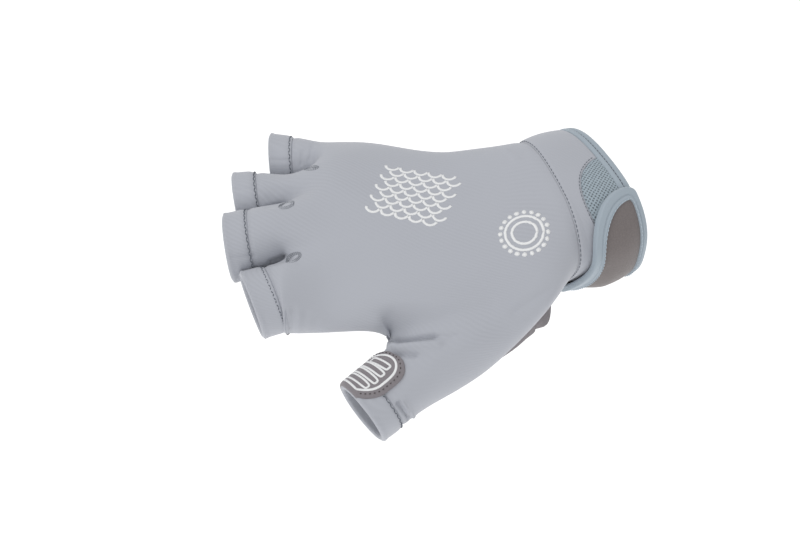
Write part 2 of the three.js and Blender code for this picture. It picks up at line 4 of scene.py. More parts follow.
import bpy
import numpy as np
from bpy.props import FloatProperty, FloatVectorProperty, IntProperty, PointerProperty
from bpy.types import Operator, Panel, PropertyGroup
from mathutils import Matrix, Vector


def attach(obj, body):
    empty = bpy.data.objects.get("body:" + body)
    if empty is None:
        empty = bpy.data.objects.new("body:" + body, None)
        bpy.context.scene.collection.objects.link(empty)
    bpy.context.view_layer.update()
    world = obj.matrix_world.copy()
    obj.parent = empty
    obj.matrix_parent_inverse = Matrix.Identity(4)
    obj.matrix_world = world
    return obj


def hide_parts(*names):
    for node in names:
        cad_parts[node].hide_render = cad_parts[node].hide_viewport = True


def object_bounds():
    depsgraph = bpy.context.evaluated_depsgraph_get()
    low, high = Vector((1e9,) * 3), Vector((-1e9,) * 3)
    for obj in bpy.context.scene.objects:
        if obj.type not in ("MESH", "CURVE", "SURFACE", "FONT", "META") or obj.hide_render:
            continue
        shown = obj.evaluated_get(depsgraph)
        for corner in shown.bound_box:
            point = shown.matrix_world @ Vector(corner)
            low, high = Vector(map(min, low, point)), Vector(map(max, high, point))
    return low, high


bl_info = {
    "name": "Fishing Glove",
    "version": (1, 0, 0),
    "blender": (4, 5, 0),
    "location": "3D View > Sidebar > Glove",
    "description": "Builds a half-finger fishing glove, piece by sewn piece, in its worn form",
    "category": "Add Mesh",
}

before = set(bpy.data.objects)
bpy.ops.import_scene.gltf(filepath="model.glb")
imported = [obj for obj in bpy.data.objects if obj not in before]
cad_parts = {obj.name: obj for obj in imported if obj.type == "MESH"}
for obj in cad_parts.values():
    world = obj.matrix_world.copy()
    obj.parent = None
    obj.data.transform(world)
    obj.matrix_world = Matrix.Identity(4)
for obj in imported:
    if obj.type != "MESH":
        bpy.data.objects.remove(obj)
CAD_BOX = [list(corner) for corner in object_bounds()]

MM = 0.001   # in metres, as all lengths are that no comment gives in millimetres
ROOT = "root"
FINGER_NAMES = ("index", "middle", "ring", "little")
# The pieces that are cut from the skin over the hand.
PIECES = (
    "back_panel", "palm_panel", "wrist_binding", "cuff_band", "thumb_hem",
    *(f"finger_hem_{name}" for name in FINGER_NAMES),
)
HEMS = tuple(name for name in PIECES if "hem" in name)


def table(columns, rows):
    """Rows of a table as dictionaries with the names of its columns."""
    return [dict(zip(columns.split(), row)) for row in rows]


# Sections of the palm, from the wrist seam to the knuckles. along: share of the way from the
# seam to the finger roots. side, wide: shares of the breadth. up, back, palm and arch:
# shares of the depth. turn, dip: degrees. tuck: how far the back cloth reaches under the
# thumb side, as a share of the section's half breadth.
SECTIONS = table("name along side up wide back palm arch turn dip tuck", (
    ("carpus", 0.15, -0.25, 0.16, 0.885, 0.66, 0.70, 0.02, 22, 5, 0.165),
    ("heel", 0.31, -0.259, 0.11, 0.889, 0.58, 0.72, 0.06, 15, 2, 0.14),
    ("ball", 0.48, -0.253, 0.04, 0.95, 0.52, 0.68, 0.14, 9, 0, 0.08),
    ("web", 0.68, -0.221, -0.04, 1, 0.48, 0.60, 0.24, 4, -2, 0),
    ("knuckle", 0.86, -0.203, -0.11, 1.004, 0.46, 0.52, 0.32, 0, -4, 0),
))

# Fingers, from the thumb side. along: root's share of the reach. side: share of the breadth.
# up: share of the depth. root, hem: widths as shares of the finger width. long: share of the
# stub length. splay: degrees towards the thumb. droop: degrees below level. cut: degrees
# that the hem is cut off square.
FINGERS = table("name along side up root hem long splay droop cut", (
    ("index", 1.026, -0.563, 0.035, 1.07, 1, 0.6, 13, 8.7, 6),
    ("middle", 1.058, -0.292, 0.26, 0.91, 0.98, 0.84, 12, 8, -7),
    ("ring", 1.019, -0.048, 0.1125, 0.72, 0.88, 0.909, -1, 8.7, 6),
    ("little", 0.948, 0.18, -0.073, 0.78, 0.86, 0.724, -13.5, 6.3, 13),
))

# Thumb rings, from the ball to the hem's edge. back: share of the thumb length from the edge.
# wide, deep: shares of the thumb width. slew: degrees that the ring turns about the crotch.
THUMB_RINGS = table("name back wide deep slew", (
    ("ball", 1.06, 1.56, 1.18, 38),
    ("web", 0.6, 1.03, 1.04, 8),
    ("hem_line", None, 1, 0.98, 0),
    ("edge", 0, 0.98, 0.96, 0),
))
THUMB_PLACE = (-0.784, -0.982, -0.85)  # its edge, as shares of the reach, breadth and depth

SECTION_SQUARE = 2.5     # power of the rounded sections: 2 is an ellipse
CUFF_TURN = 30           # degrees that the forearm turns towards the little finger
CUFF_DIP = 8.5           # degrees that it falls
CUFF_SWELL = 0.05        # how much larger the cuff is halfway than an even growth gives
CUFF_SEAM_SWELL = 0.05   # how much larger it is at the seam than at its opening
SEAM_LEAN = 4 * MM       # how far the wrist seam leans to the hand on the thumb side
SEAM_TUCK = 0.26         # the tuck of the sections, at the seam
HEM_NECK = 0.985         # size of a finger at its hem line, as a share of its hem
THUMB_TURN = 36.2        # degrees that the thumb points away from the fingers
THUMB_FALL = 14.5        # degrees that it points below level
FINGER_ANGLES = (180, 135, 90, 45, 0, -45, -90, -135)   # from the thumb side, over the back
THUMB_SIDES = 10
CUFF_SEAM_ROW = 3        # the cage's row of rings that is the wrist seam
DEGREES_IN_TURN = 360
TINY = 1e-12             # keeps a division from failing
LEAST_WEIGHT = 1e-300    # keeps a sum of weights from being nothing


def scaled(name, description, millimetres):
    """A length property with its default given in millimetres."""
    return FloatProperty(name=name, description=description, default=millimetres * MM,
                         min=0, unit="LENGTH", precision=4)


class GloveHand(PropertyGroup):
    """Sizes of the form that the hand gives the glove."""

    breadth: scaled("Breadth", "Across the four finger roots", 86)
    reach: scaled("Reach", "Wrist opening to the finger roots", 112)
    depth: scaled("Depth", "Back to palm at the knuckles", 26)
    wrist_breadth: scaled("Wrist breadth", "Cuff opening, across", 56)
    wrist_depth: scaled("Wrist depth", "Cuff opening, back to front", 40)
    cuff_length: scaled("Cuff length", "Wrist seam to the opening", 25)
    finger_width: scaled("Finger width", "Index hem, outside", 25)
    stub_length: scaled("Stub length", "Finger root to the edge of its hem", 22)
    thumb_width: scaled("Thumb width", "Thumb hem, outside", 25)
    thumb_length: scaled("Thumb length", "Thumb hem's edge to the ball of the thumb", 34)


class GloveCloth(PropertyGroup):
    """Sizes of the cloth, the hems and the tapes."""

    back_wall: scaled("Back cloth", "Thickness of the stretch cloth", 1.2)
    palm_wall: scaled("Palm cloth", "Thickness of the grip cloth", 1.6)
    hem_wall: scaled("Hem", "Thickness of a turned hem", 2)
    cuff_wall: scaled("Cuff", "Thickness of the doubled cuff cloth", 1.8)
    net_wall: scaled("Net", "Thickness of the net insert", 1)
    binding_wall: scaled("Binding", "Thickness of the folded wrist tape", 2.8)
    hem_width: scaled("Hem width", "Edge of a hem to its stitched side", 9)
    hem_proud: scaled("Hem proud", "How far a hem stands over the cloth beside it", 0.35)
    binding_width: scaled("Binding width", "Tape folded over the wrist edge", 5.2)
    seam_dip: scaled("Seam dip", "How far cloth sinks into a seam", 0.5)
    thread: scaled("Thread", "Thickness of the sewing thread", 0.42)
    stitch: scaled("Stitch", "Length of one stitch with its gap", 2.6)
    smooth: IntProperty(name="Smoothness", description="Times that the cage is divided",
                        default=4, min=1, max=5)


def hand():
    """The sizes of the hand's form in this scene."""
    return bpy.context.scene.glove_hand


def cloth():
    """The sizes of the cloth in this scene."""
    return bpy.context.scene.glove_cloth


def colours():
    """The colours in this scene."""
    return bpy.context.scene.glove_colours


def linear_rgb(code):
    """An sRGB hex colour as linear red, green and blue."""
    srgb = np.array([int(code[k:k + 2], 16) for k in (1, 3, 5)]) / 255
    return tuple(np.where(srgb <= 0.04045, srgb / 12.92, ((srgb + 0.055) / 1.055) ** 2.4))


def colour(name, description, code):
    """A colour property with its default given as an sRGB hex value."""
    return FloatVectorProperty(name=name, description=description, default=linear_rgb(code),
                               subtype="COLOR", min=0, max=1)


class GloveColours(PropertyGroup):
    """Colours of the cloths, tapes and threads."""

    stretch: colour("Stretch cloth", "Back, hems and cuff", "#AEB1B9")
    grip: colour("Grip cloth", "Palm and thumb patch", "#858084")
    tape: colour("Tape", "Wrist and tab bindings", "#A0ACB6")
    net: colour("Net", "Net insert", "#9AA7B0")
    loop: colour("Loop cloth", "Face of the closure tab", "#766F6E")
    thread: colour("Thread", "Hem and seam stitches", "#5C626C")
    print: colour("Print", "Printed marks", "#EDEEEF")
    floor: colour("Floor", "Floor under the glove", "#F4F4F4")


def rad(degrees):
    """Degrees as radians."""
    return np.radians(degrees)


def wave(t):
    """Smooth step: 0 below 0, 1 above 1, and 3t squared less 2t cubed between them."""
    t = np.clip(t, 0, 1)
    return t * t * (3 - 2 * t)


def bell(t):
    """A bell curve: 1 at 0, and e to the power of minus t squared elsewhere."""
    return np.exp(-t ** 2)


def quarter_round(t):
    """A quarter circle that starts upright at 0 and is level at 1 from 1 on."""
    return np.sqrt(np.clip(1 - (1 - np.clip(t, 0, 1)) ** 2, 0, 1))


def keep_sign(t, power):
    """A power of the size of t with t's sign: it makes a superellipse of sine and cosine."""
    return np.sign(t) * np.abs(t) ** power


def unit(vectors):
    """Vectors of length 1."""
    return vectors / np.maximum(np.linalg.norm(vectors, axis=-1, keepdims=True), TINY)


def interpolate(at, known, values, **options):
    """Each column of the values, interpolated at the given places between the known ones."""
    return np.stack([np.interp(at, known, column, **options) for column in values.T], axis=-1)


def distances(path):
    """How far each point of a path lies from its first one, along the path."""
    return np.concatenate([[0], np.cumsum(np.linalg.norm(np.diff(path, axis=0), axis=1))])


def quad_sides(quads):
    """The four sides of each quad, as pairs of points."""
    return np.stack([quads, np.roll(quads, -1, axis=1)], axis=2).reshape(-1, 2)


def section_axes(turn, dip):
    """Axes of a section whose normal points to the wrist: outward, sideways and up."""
    a, b = rad(turn), rad(dip)
    out = np.array([np.cos(a) * np.cos(b), np.sin(a) * np.cos(b), -np.sin(b)])
    side = np.array([-np.sin(a), np.cos(a), 0])
    return out, side, np.cross(out, side)


def limb_axes(turn, fall):
    """Direction that a finger points in, then across it and up from it."""
    a, b = rad(turn), rad(fall)
    along = np.array([-np.cos(a) * np.cos(b), -np.sin(a) * np.cos(b), -np.sin(b)])
    across = unit(np.cross(along, (0, 0, 1)))
    return along, across, np.cross(across, along)


def hand_scale():
    """The reach, breadth and depth, for places that are given as shares of them."""
    return np.array([hand().reach, hand().breadth, hand().depth])


def crown(t):
    """Height of a rounded section at a share t of its half width: the superellipse."""
    return (1 - np.abs(t) ** SECTION_SQUARE) ** (1 / SECTION_SQUARE)


def section_lines():
    """The lengthwise lines of the cage, three on each finger, as shares of the half breadth."""
    side = np.array([row["side"] for row in FINGERS]) * hand().breadth
    half = np.array([row["root"] for row in FINGERS]) * hand().finger_width / 2
    low, high = side[0] - half[0], side[-1] + half[-1]
    lines = side[:, None] + np.outer(half, (-1, 0, 1)) * math.sqrt(0.5)
    return (lines.ravel() - (low + high) / 2) / ((high - low) / 2)


def body_ring(centre, turn, dip, half, back, palm, arch, tuck=0):
    """One ring round the hand: over the back, the little finger side, the palm and the
    thumb side. Half breadth times a share sideways, and a superellipse up and down."""
    _, side, up = section_axes(turn, dip)
    lines = section_lines()
    under = lines.copy()
    under[:3] += tuck * np.array([1, 0.66, 0.33])

    def place(t, height):
        t = np.atleast_1d(t)
        return (centre + np.outer(t * half, side)
                + np.outer(height + arch * (1 - t * t), up))

    return np.vstack([
        place(lines, back * crown(lines)), place(1, 0),
        place(under, -palm * crown(under))[::-1], place(-1, 0),
    ])


def cuff_halves(distance):
    """Half breadth and half depth of the cuff at a distance from its opening: it grows
    evenly, and swells by a half sine between the opening and the seam."""
    share = distance / hand().cuff_length
    swell = 1 + CUFF_SEAM_SWELL * share + CUFF_SWELL * np.sin(np.pi * np.clip(share, 0, 1))
    return hand().wrist_breadth / 2 * swell, hand().wrist_depth / 2 * swell


def cuff_ring(distance, lean=0):
    """A ring of the cuff, moved towards the hand at the thumb side by a lean."""
    out, side, _ = section_axes(CUFF_TURN, CUFF_DIP)
    breadth, depth = cuff_halves(distance)
    ring = body_ring(-out * distance, CUFF_TURN, CUFF_DIP, breadth, depth, depth, 0,
                     SEAM_TUCK * lean / SEAM_LEAN)
    return ring + np.outer(lean * (ring @ side) / breadth, out)


def palm_ring(row):
    """The ring of one section of the palm."""
    out, _, _ = section_axes(CUFF_TURN, CUFF_DIP)
    seam = -out[0] * hand().cuff_length
    depth = hand().depth
    centre = np.array([
        seam + (-hand().reach - seam) * row["along"], row["side"] * hand().breadth,
        row["up"] * depth,
    ])
    return body_ring(centre, row["turn"], row["dip"], row["wide"] * hand().breadth / 2,
                     row["back"] * depth, row["palm"] * depth, row["arch"] * depth,
                     row["tuck"])


def oval_ring(centre, across, up, wide, deep, angles):
    """Points of an ellipse: half the width along one axis, half the depth along the other."""
    return (centre + np.outer(np.cos(rad(angles)) * wide / 2, across)
            + np.outer(np.sin(rad(angles)) * deep / 2, up))


def finger_rings(row):
    """Rings at a finger's root, at its hem line and at its edge."""
    along, _, _ = limb_axes(row["splay"], row["droop"])
    _, across, up = limb_axes(row["splay"] + row["cut"], row["droop"])
    root = hand_scale() * (-row["along"], row["side"], row["up"])
    length = row["long"] * hand().stub_length
    hem = row["hem"] * hand().finger_width
    wide = row["root"] * hand().finger_width
    neck = root + along * (length - cloth().hem_width)
    return [
        oval_ring(root, (0, 1, 0), (0, 0, 1), wide, hand().depth * row["root"], FINGER_ANGLES),
        oval_ring(neck, across, up, hem * HEM_NECK, hem * HEM_NECK, FINGER_ANGLES),
        oval_ring(root + along * length, across, up, hem, hem, FINGER_ANGLES),
    ]


def thumb_point(distance):
    """The point on the thumb's axis at a distance from the hem's edge."""
    along, _, _ = limb_axes(THUMB_TURN, THUMB_FALL)
    return hand_scale() * THUMB_PLACE - np.multiply.outer(distance, along)


def thumb_distance(row):
    """How far a ring of the thumb lies from the hem's edge."""
    if row["back"] is None:
        return cloth().hem_width
    return row["back"] * hand().thumb_length


def thumb_ring(row):
    """An oval ring round the thumb, turned about its upright axis near the crotch."""
    along, across, up = limb_axes(THUMB_TURN, THUMB_FALL)
    slew = rad(row["slew"])
    turned = across * np.cos(slew) + np.cross(up, across) * np.sin(slew)
    angles = np.arange(THUMB_SIDES) * DEGREES_IN_TURN / THUMB_SIDES
    return oval_ring(thumb_point(thumb_distance(row)), turned, up,
                     row["wide"] * hand().thumb_width, row["deep"] * hand().thumb_width, angles)


class Cage:
    """Points with their distance from the nearest open edge, and quads with the piece
    that each belongs to."""

    def __init__(self):
        self.points = []
        self.quads = []
        self.labels = []

    def add(self, ring, run):
        """Adds a ring of points, all at one distance from the open edge."""
        first = len(self.points)
        self.points.extend([*point, run] for point in ring)
        return list(range(first, first + len(ring)))

    def quad(self, piece, *corners):
        """Adds a quad of a piece."""
        self.quads.append(corners)
        self.labels.append(PIECES.index(piece))

    def arrays(self):
        """The cage as arrays, without the points that no quad uses."""
        used, index = np.unique(np.array(self.quads), return_inverse=True)
        points = np.array(self.points)[used]
        return points, index.reshape(-1, 4), np.array(self.labels)


def build_cage():
    """The hand as a coarse cage of quads: rings round the cuff and palm, a web between each
    two fingers, a tube for each finger and one for the thumb."""
    cage = Cage()
    width = cloth().binding_width
    seam = hand().cuff_length
    far = seam + hand().stub_length
    fingers = [finger_rings(row) for row in FINGERS]
    stub = [row["long"] * hand().stub_length for row in FINGERS]
    root_rings = [cage.add(rings[0], run) for rings, run in zip(fingers, stub)]
    over = [i for ring in root_rings for i in ring[1:4]]
    under = [i for ring in reversed(root_rings) for i in ring[5:8]]
    roots = [*over, root_rings[-1][4], *under, root_rings[0][0]]
    cuff_runs = (0, width, (width + seam) / 2, seam)
    leans = (0, 0, SEAM_LEAN / 2, SEAM_LEAN)
    rows = [cage.add(cuff_ring(run, lean), run) for run, lean in zip(cuff_runs, leans)]
    rows += [cage.add(palm_ring(row), far) for row in SECTIONS]
    rows.append(roots)
    sides = len(roots)
    lines = 3 * len(FINGERS)
    thumb_side = sides - 1
    names = [row["name"] for row in SECTIONS]
    carpus = CUFF_SEAM_ROW + 1 + names.index("carpus")
    web = CUFF_SEAM_ROW + 1 + names.index("web")

    def body_piece(row, column):
        if row < 1:
            return "wrist_binding"
        if row < CUFF_SEAM_ROW:
            return "cuff_band"
        return "palm_panel" if lines < column < thumb_side - 1 else "back_panel"

    for row in range(len(rows) - 1):
        for column in range(sides):
            if carpus <= row < web and column >= thumb_side - 1:
                continue
            after = (column + 1) % sides
            cage.quad(body_piece(row, column), rows[row][column], rows[row][after],
                      rows[row + 1][after], rows[row + 1][column])

    for a, b in zip(root_rings, root_rings[1:]):
        cage.quad("back_panel", a[3], b[1], b[0], a[4])
        cage.quad("back_panel", a[4], b[0], b[7], a[5])

    def tube(rings, hem, palm_columns, flip=False):
        for k, (ring, beyond) in enumerate(zip(rings, rings[1:])):
            for j in range(len(ring)):
                after = (j + 1) % len(ring)
                corners = [ring[j], ring[after], beyond[after], beyond[j]]
                if flip:
                    corners[1:] = corners[:0:-1]
                piece = "palm_panel" if j in palm_columns else "back_panel"
                cage.quad(hem if k == len(rings) - 2 else piece, *corners)

    for i, name in enumerate(FINGER_NAMES):
        rings = [root_rings[i], cage.add(fingers[i][1], cloth().hem_width),
                 cage.add(fingers[i][2], 0)]
        tube(rings, f"finger_hem_{name}", (5, 6))

    stretch = rows[carpus:web + 1][::-1]
    hole = [
        stretch[0][thumb_side], *(row[0] for row in stretch),
        stretch[-1][thumb_side], *(row[thumb_side - 1] for row in reversed(stretch)),
    ]
    rings = [cage.add(thumb_ring(row), thumb_distance(row)) for row in THUMB_RINGS]
    tube([hole, *rings], "thumb_hem", (6, 7, 8), flip=True)
    return cage.arrays()


class Links:
    """Which points share an edge or a quad, worked out for a whole mesh of quads."""

    def __init__(self, count, quads):
        self.edges, self.of_side, owners = np.unique(
            np.sort(quad_sides(quads), axis=1), axis=0, return_inverse=True,
            return_counts=True)
        self.of_side = self.of_side.reshape(quads.shape)
        self.open = owners == 1
        self.quads = quads
        self.count = count
        self.valence = np.bincount(quads.ravel(), minlength=count)
        self.rim = np.zeros(count, bool)
        self.rim[self.edges[self.open]] = True

    def edge_sum(self, values, chosen):
        """For each point, the sum of its neighbours' values along the chosen edges."""
        total = np.zeros((self.count, values.shape[1]))
        a, b = self.edges[chosen].T
        np.add.at(total, a, values[b])
        np.add.at(total, b, values[a])
        return total

    def quad_sum(self, values):
        """For each point, the sum of one value from each corner of each quad round it."""
        total = np.zeros((self.count, values.shape[2]))
        np.add.at(total, self.quads, values)
        return total


def smooth_places(points, links):
    """Where each point comes to lie on the smooth surface: it counts n squared times, each
    neighbour four times and each point across a quad once. On an open edge the weights are
    4, 1 and 1."""
    n = links.valence[:, None]
    everything = np.ones(len(links.edges), bool)
    across = np.roll(points[links.quads], -2, axis=1)
    inner = (n * n * points + 4 * links.edge_sum(points, everything)
             + links.quad_sum(across)) / (n * n + 5 * n)
    outer = (4 * points + links.edge_sum(points, links.open)) / 6
    return np.where(links.rim[:, None], outer, inner)


def subdivide(points, quads, labels):
    """One Catmull-Clark step: each quad becomes four."""
    links = Links(len(points), quads)
    centres = points[quads].mean(axis=1)
    ends = points[links.edges].sum(axis=1)
    beside = np.zeros_like(ends)
    np.add.at(beside, links.of_side.ravel(), np.repeat(centres, 4, axis=0))
    middles = np.where(links.open[:, None], ends / 2, (ends + beside) / 4)
    n = links.valence[:, None]
    everything = np.ones(len(links.edges), bool)
    spread = np.repeat(centres[:, None, :], 4, axis=1)
    face_mean = links.quad_sum(spread) / n
    edge_mean = (links.edge_sum(points, everything) / n + points) / 2
    inner = (face_mean + 2 * edge_mean + (n - 3) * points) / n
    outer = (6 * points + links.edge_sum(points, links.open)) / 8
    moved = np.where(links.rim[:, None], outer, inner)
    edge_first = len(points) + len(centres)
    after = links.of_side + edge_first
    middle = np.arange(len(quads))[:, None] + len(points) + np.zeros((1, 4), int)
    parts = np.stack([quads, after, middle, np.roll(after, 1, axis=1)], axis=2)
    return (np.vstack([moved, centres, middles]), parts.reshape(-1, 4), np.repeat(labels, 4))


def point_normals(points, quads):
    """The mean direction of the quads round each point, each by its area."""
    a, b, c, d = (points[quads[:, k]] for k in range(4))
    faces = np.cross(c - a, d - b)
    normals = np.zeros_like(points)
    for k in range(4):
        np.add.at(normals, quads[:, k], faces)
    return unit(normals)


FIT_ROUNDS = 8   # how often the cage is moved so that the smooth skin passes its points


@lru_cache(maxsize=None)
def smooth_skin(levels):
    """The whole glove as one fine skin: points, their distance from an open edge, quads
    and the piece that each quad belongs to."""
    cage, quads, labels = build_cage()
    links = Links(len(cage), quads)
    points = cage
    for _ in range(FIT_ROUNDS):
        points = points + cage - smooth_places(points, links)
    for _ in range(levels):
        points, quads, labels = subdivide(points, quads, labels)
    points = smooth_places(points, Links(len(points), quads))
    return fold_skin(points[:, :3], quads, labels), points[:, 3], quads, labels


# The view that the folds are drawn in: across is +X, and rise is up the picture as seen from
# 50 degrees above the thumb side.
VIEW_RISE = 50
# Folds seen from there. path: millimetres across and up that view, from the wrist opening.
# wide: half width and lift: height, in millimetres.
FOLDS = table("name path wide lift", (
    ("crotch_groove", ((-76, -53), (-67, -51.6), (-62, -51.2)), 0.9, -1.6),
    ("crotch_fade", ((-74, -52.7), (-54, -50.6)), 0.9, -0.7),
    ("crotch_ridge", ((-77, -55.1), (-70, -54), (-60, -53.3)), 1.3, 1.5),
    ("crotch_lower", ((-76, -57.2), (-68.5, -57.6)), 0.9, -1.2),
    ("crotch_low_fade", ((-75, -57.2), (-64, -57.8)), 0.9, -0.6),
    ("crotch_pinch", ((-78.5, -55), (-76.6, -52.6), (-75.4, -54.8)), 0.8, 0.8),
    ("crotch_above", ((-80, -49), (-77.5, -44)), 2.4, -0.5),
    ("thumb_dent", ((-74.4, -74.7), (-72, -78), (-70, -81.6)), 0.8, -2.2),
    ("thumb_side", ((-73, -74.4), (-70.6, -78), (-68.6, -81)), 0.9, 1.1),
    ("index_crease", ((-112, -41.5), (-112.6, -50)), 1, -0.6),
    ("index_second", ((-107.7, -42.5), (-108.1, -50)), 1.1, -0.45),
    ("index_third", ((-104.4, -45), (-104.6, -50)), 1.1, -0.3),
    ("ring_slant", ((-124, 5.3), (-119.3, 1.7)), 1.5, -0.3),
    ("ring_second", ((-127, 3.4), (-122, -1.6)), 1.3, -0.25),
    ("little_ray", ((-109.4, 16.6), (-110.4, 11.8)), 0.9, -0.35),
    ("little_second", ((-106.2, 18.4), (-107, 13.6)), 1, -0.4),
    ("little_third", ((-112.4, 15.2), (-112.9, 11.4)), 0.8, -0.3),
    ("middle_hem", ((-134.5, -22.6), (-126.8, -22.4)), 0.7, -0.3),
    ("ring_hem", ((-134, 2.2), (-127.4, 1.8)), 0.7, -0.25),
    ("little_hem", ((-121.2, 13.4), (-115, 13)), 0.7, -0.25),
    ("web_slit", ((-120.4, -24.6), (-113.6, -22.6)), 1.2, -1),
    ("web_lip", ((-119.5, -26.6), (-112, -24.8)), 1.1, 0.5),
    ("wrist_tuck", ((-33, -42), (-20, -33.5)), 1.3, -0.5),
    ("cuff_pucker", ((-35, 16.5), (-31.5, 13)), 1.2, 0.6),
    ("long_crease", ((-60, -46), (-42, -41)), 3.5, -0.45),
    ("long_swell", ((-63, -60), (-45, -52)), 4.5, 0.5),
    ("ring_slit", ((-122, -4.4), (-116.6, -3.2)), 0.9, -0.5),
))

# Slack of the palm cloth. start, end: shares of the reach, the breadth and the depth.
# reach, lift: shares of the depth.
SLACK = table("name cloth start end reach lift", (
    ("heel_bulge", "palm_panel", (-0.3, -0.6, -0.5), (-0.22, -0.53, -0.5), 0.4, 0.2),
    ("heel_crest", "palm_panel", (-0.25, -0.56, -0.5), (-0.225, -0.54, -0.5), 0.2, 0.19),
))


def fold_skin(points, quads, labels):
    """Raises or sinks points along their normals, by a bell curve of their distance from
    each fold's line, where they face the view. Slack cloth swells in the same way."""
    normals = point_normals(points, quads)
    across, up, towards = view_axes()
    seen = np.column_stack([points @ across, points @ up]) / MM
    facing = wave(normals @ towards * 4)
    lift = np.zeros(len(points))
    for fold in FOLDS:
        near = line_distance(seen, np.array(fold["path"]))
        lift += fold["lift"] * MM * bell(near / fold["wide"]) * facing
    for slack in SLACK:
        own = labels == PIECES.index(slack["cloth"])
        owned = np.isin(np.arange(len(points)), quads[own])
        owned[quads[~own]] = False
        line = np.array([hand_scale() * slack[key] for key in ("start", "end")])
        near = line_distance(points, line) / (slack["reach"] * hand().depth)
        lift += slack["lift"] * hand().depth * bell(near) * owned
    return points + normals * lift[:, None]


def view_axes():
    """Across, up and towards the viewer, in the view that the folds are drawn in."""
    rise = rad(VIEW_RISE)
    return (np.array([1, 0, 0]), np.array([0, np.sin(rise), np.cos(rise)]),
            np.array([0, -np.cos(rise), np.sin(rise)]))


def line_distance(points, path):
    """Distance of each point from a path of straight stretches."""
    best = np.full(len(points), np.inf)
    for a, b in zip(path, path[1:]):
        step = b - a
        share = np.clip((points - a) @ step / (step @ step), 0, 1)
        best = np.minimum(best, np.linalg.norm(points - a - share[:, None] * step, axis=1))
    return best


SEAM_RINGS = 4   # rings of quads over which cloth sinks into a seam
FAR_RINGS = 9    # stands for more rings than that


def cut_piece(name):
    """One piece of the skin: its points, normals, distances from an open edge, quads and
    how many rings of quads lie between each point and the piece's own border."""
    points, run, quads, labels = smooth_skin(cloth().smooth)
    normals = point_normals(points, quads)
    own = quads[labels == PIECES.index(name)]
    used, index = np.unique(own, return_inverse=True)
    own = index.reshape(-1, 4)
    foreign = np.zeros(len(points), bool)
    foreign[quads[labels != PIECES.index(name)]] = True
    ring = np.where(foreign[used], 0, FAR_RINGS)
    for step in range(1, SEAM_RINGS + 1):
        reached = (ring[own] < step).any(axis=1)
        touched = np.unique(own[reached])
        ring[touched] = np.minimum(ring[touched], step)
    return points[used], normals[used], run[used], own, ring


def close_sheet(outer, inner, quads):
    """A sheet's outer face, its inner face and its rims, as one closed surface."""
    count = len(outer)
    sides = quad_sides(quads)
    _, index, owners = np.unique(np.sort(sides, axis=1), axis=0,
                                 return_inverse=True, return_counts=True)
    rim = sides[owners[index.ravel()] == 1]
    rims = np.column_stack([rim[:, 1], rim[:, 0], rim[:, 0] + count, rim[:, 1] + count])
    return np.vstack([outer, inner]), np.vstack([quads, quads[:, ::-1] + count, rims])


def add_mesh(name, points, quads, uv=None):
    """A new mesh object from whole arrays of points and faces. Its UV map, where it has
    one, is given by point, in metres."""
    mesh = bpy.data.meshes.new(name)
    mesh.from_pydata(points, [], np.asarray(quads).tolist())
    if uv is not None:
        layer = mesh.uv_layers.new(name="cloth")
        corners = np.zeros(len(mesh.loops), np.int32)
        mesh.loops.foreach_get("vertex_index", corners)
        layer.uv.foreach_set("vector", uv[corners].astype(np.float32).ravel())
    mesh.shade_smooth()
    mesh.update()
    obj = bpy.data.objects.new(name, mesh)
    bpy.context.collection.objects.link(obj)
    return obj


def finish_piece(obj, slot, *nodes):
    """Gives a piece its material and sets it on the glove. The nodes of the CAD that it stands
    for are hidden."""
    dict.fromkeys(nodes, obj)
    obj.data.materials.append(finish_of(slot))
    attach(obj, ROOT)
    if nodes:
        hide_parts(*nodes)


TAPE_GROOVE = 0.55        # place of the wrist tape's groove, as a share of its width
GROOVE_DEPTH = 0.7 * MM
GROOVE_WIDTH = 0.35 * MM
ROLL_HEIGHT = 0.25 * MM   # of a hem's thicker edge
ROLL_AT = 1 * MM          # from the edge
ROLL_WIDTH = 0.9 * MM


def plain(run):
    """No profile: the cloth stays level."""
    return 0 * run


def tape_band(run):
    """A groove along a folded tape."""
    return -GROOVE_DEPTH * bell((run - cloth().binding_width * TAPE_GROOVE) / GROOVE_WIDTH)


def hem_roll(run):
    """The thicker turned edge of a hem."""
    return ROLL_HEIGHT * bell((run - ROLL_AT) / ROLL_WIDTH)


WRIST_SHARE = 0.2    # about how much of the reach the cuff takes
NEAR_SEAM = 0.9      # share of the cuff's length beyond which its border is the wrist seam


def round_coordinate(points):
    """A point's distance round the hand from the middle of its back: the angle round the
    line through the sections, as the arc length of the palm's middle section."""
    line = np.array([
        hand_scale() * (-WRIST_SHARE - (1 - WRIST_SHARE) * row["along"], row["side"], row["up"])
        for row in SECTIONS])
    line = np.vstack([[0, 0, 0], line])[::-1]
    centre = interpolate(points[:, 0], line[:, 0], line[:, 1:])
    half = np.array([hand().breadth, hand().depth]) / 2
    angle = np.linspace(-np.pi, np.pi, 721)
    steps = np.hypot(half[0] * np.cos(angle), half[1] * np.sin(angle))
    arc = np.cumsum(steps) * (angle[1] - angle[0])
    side, up = ((points[:, 1:] - centre) / half).T
    found = np.arctan2(side, up)
    return np.interp(found, angle, arc - np.interp(0, angle, arc))


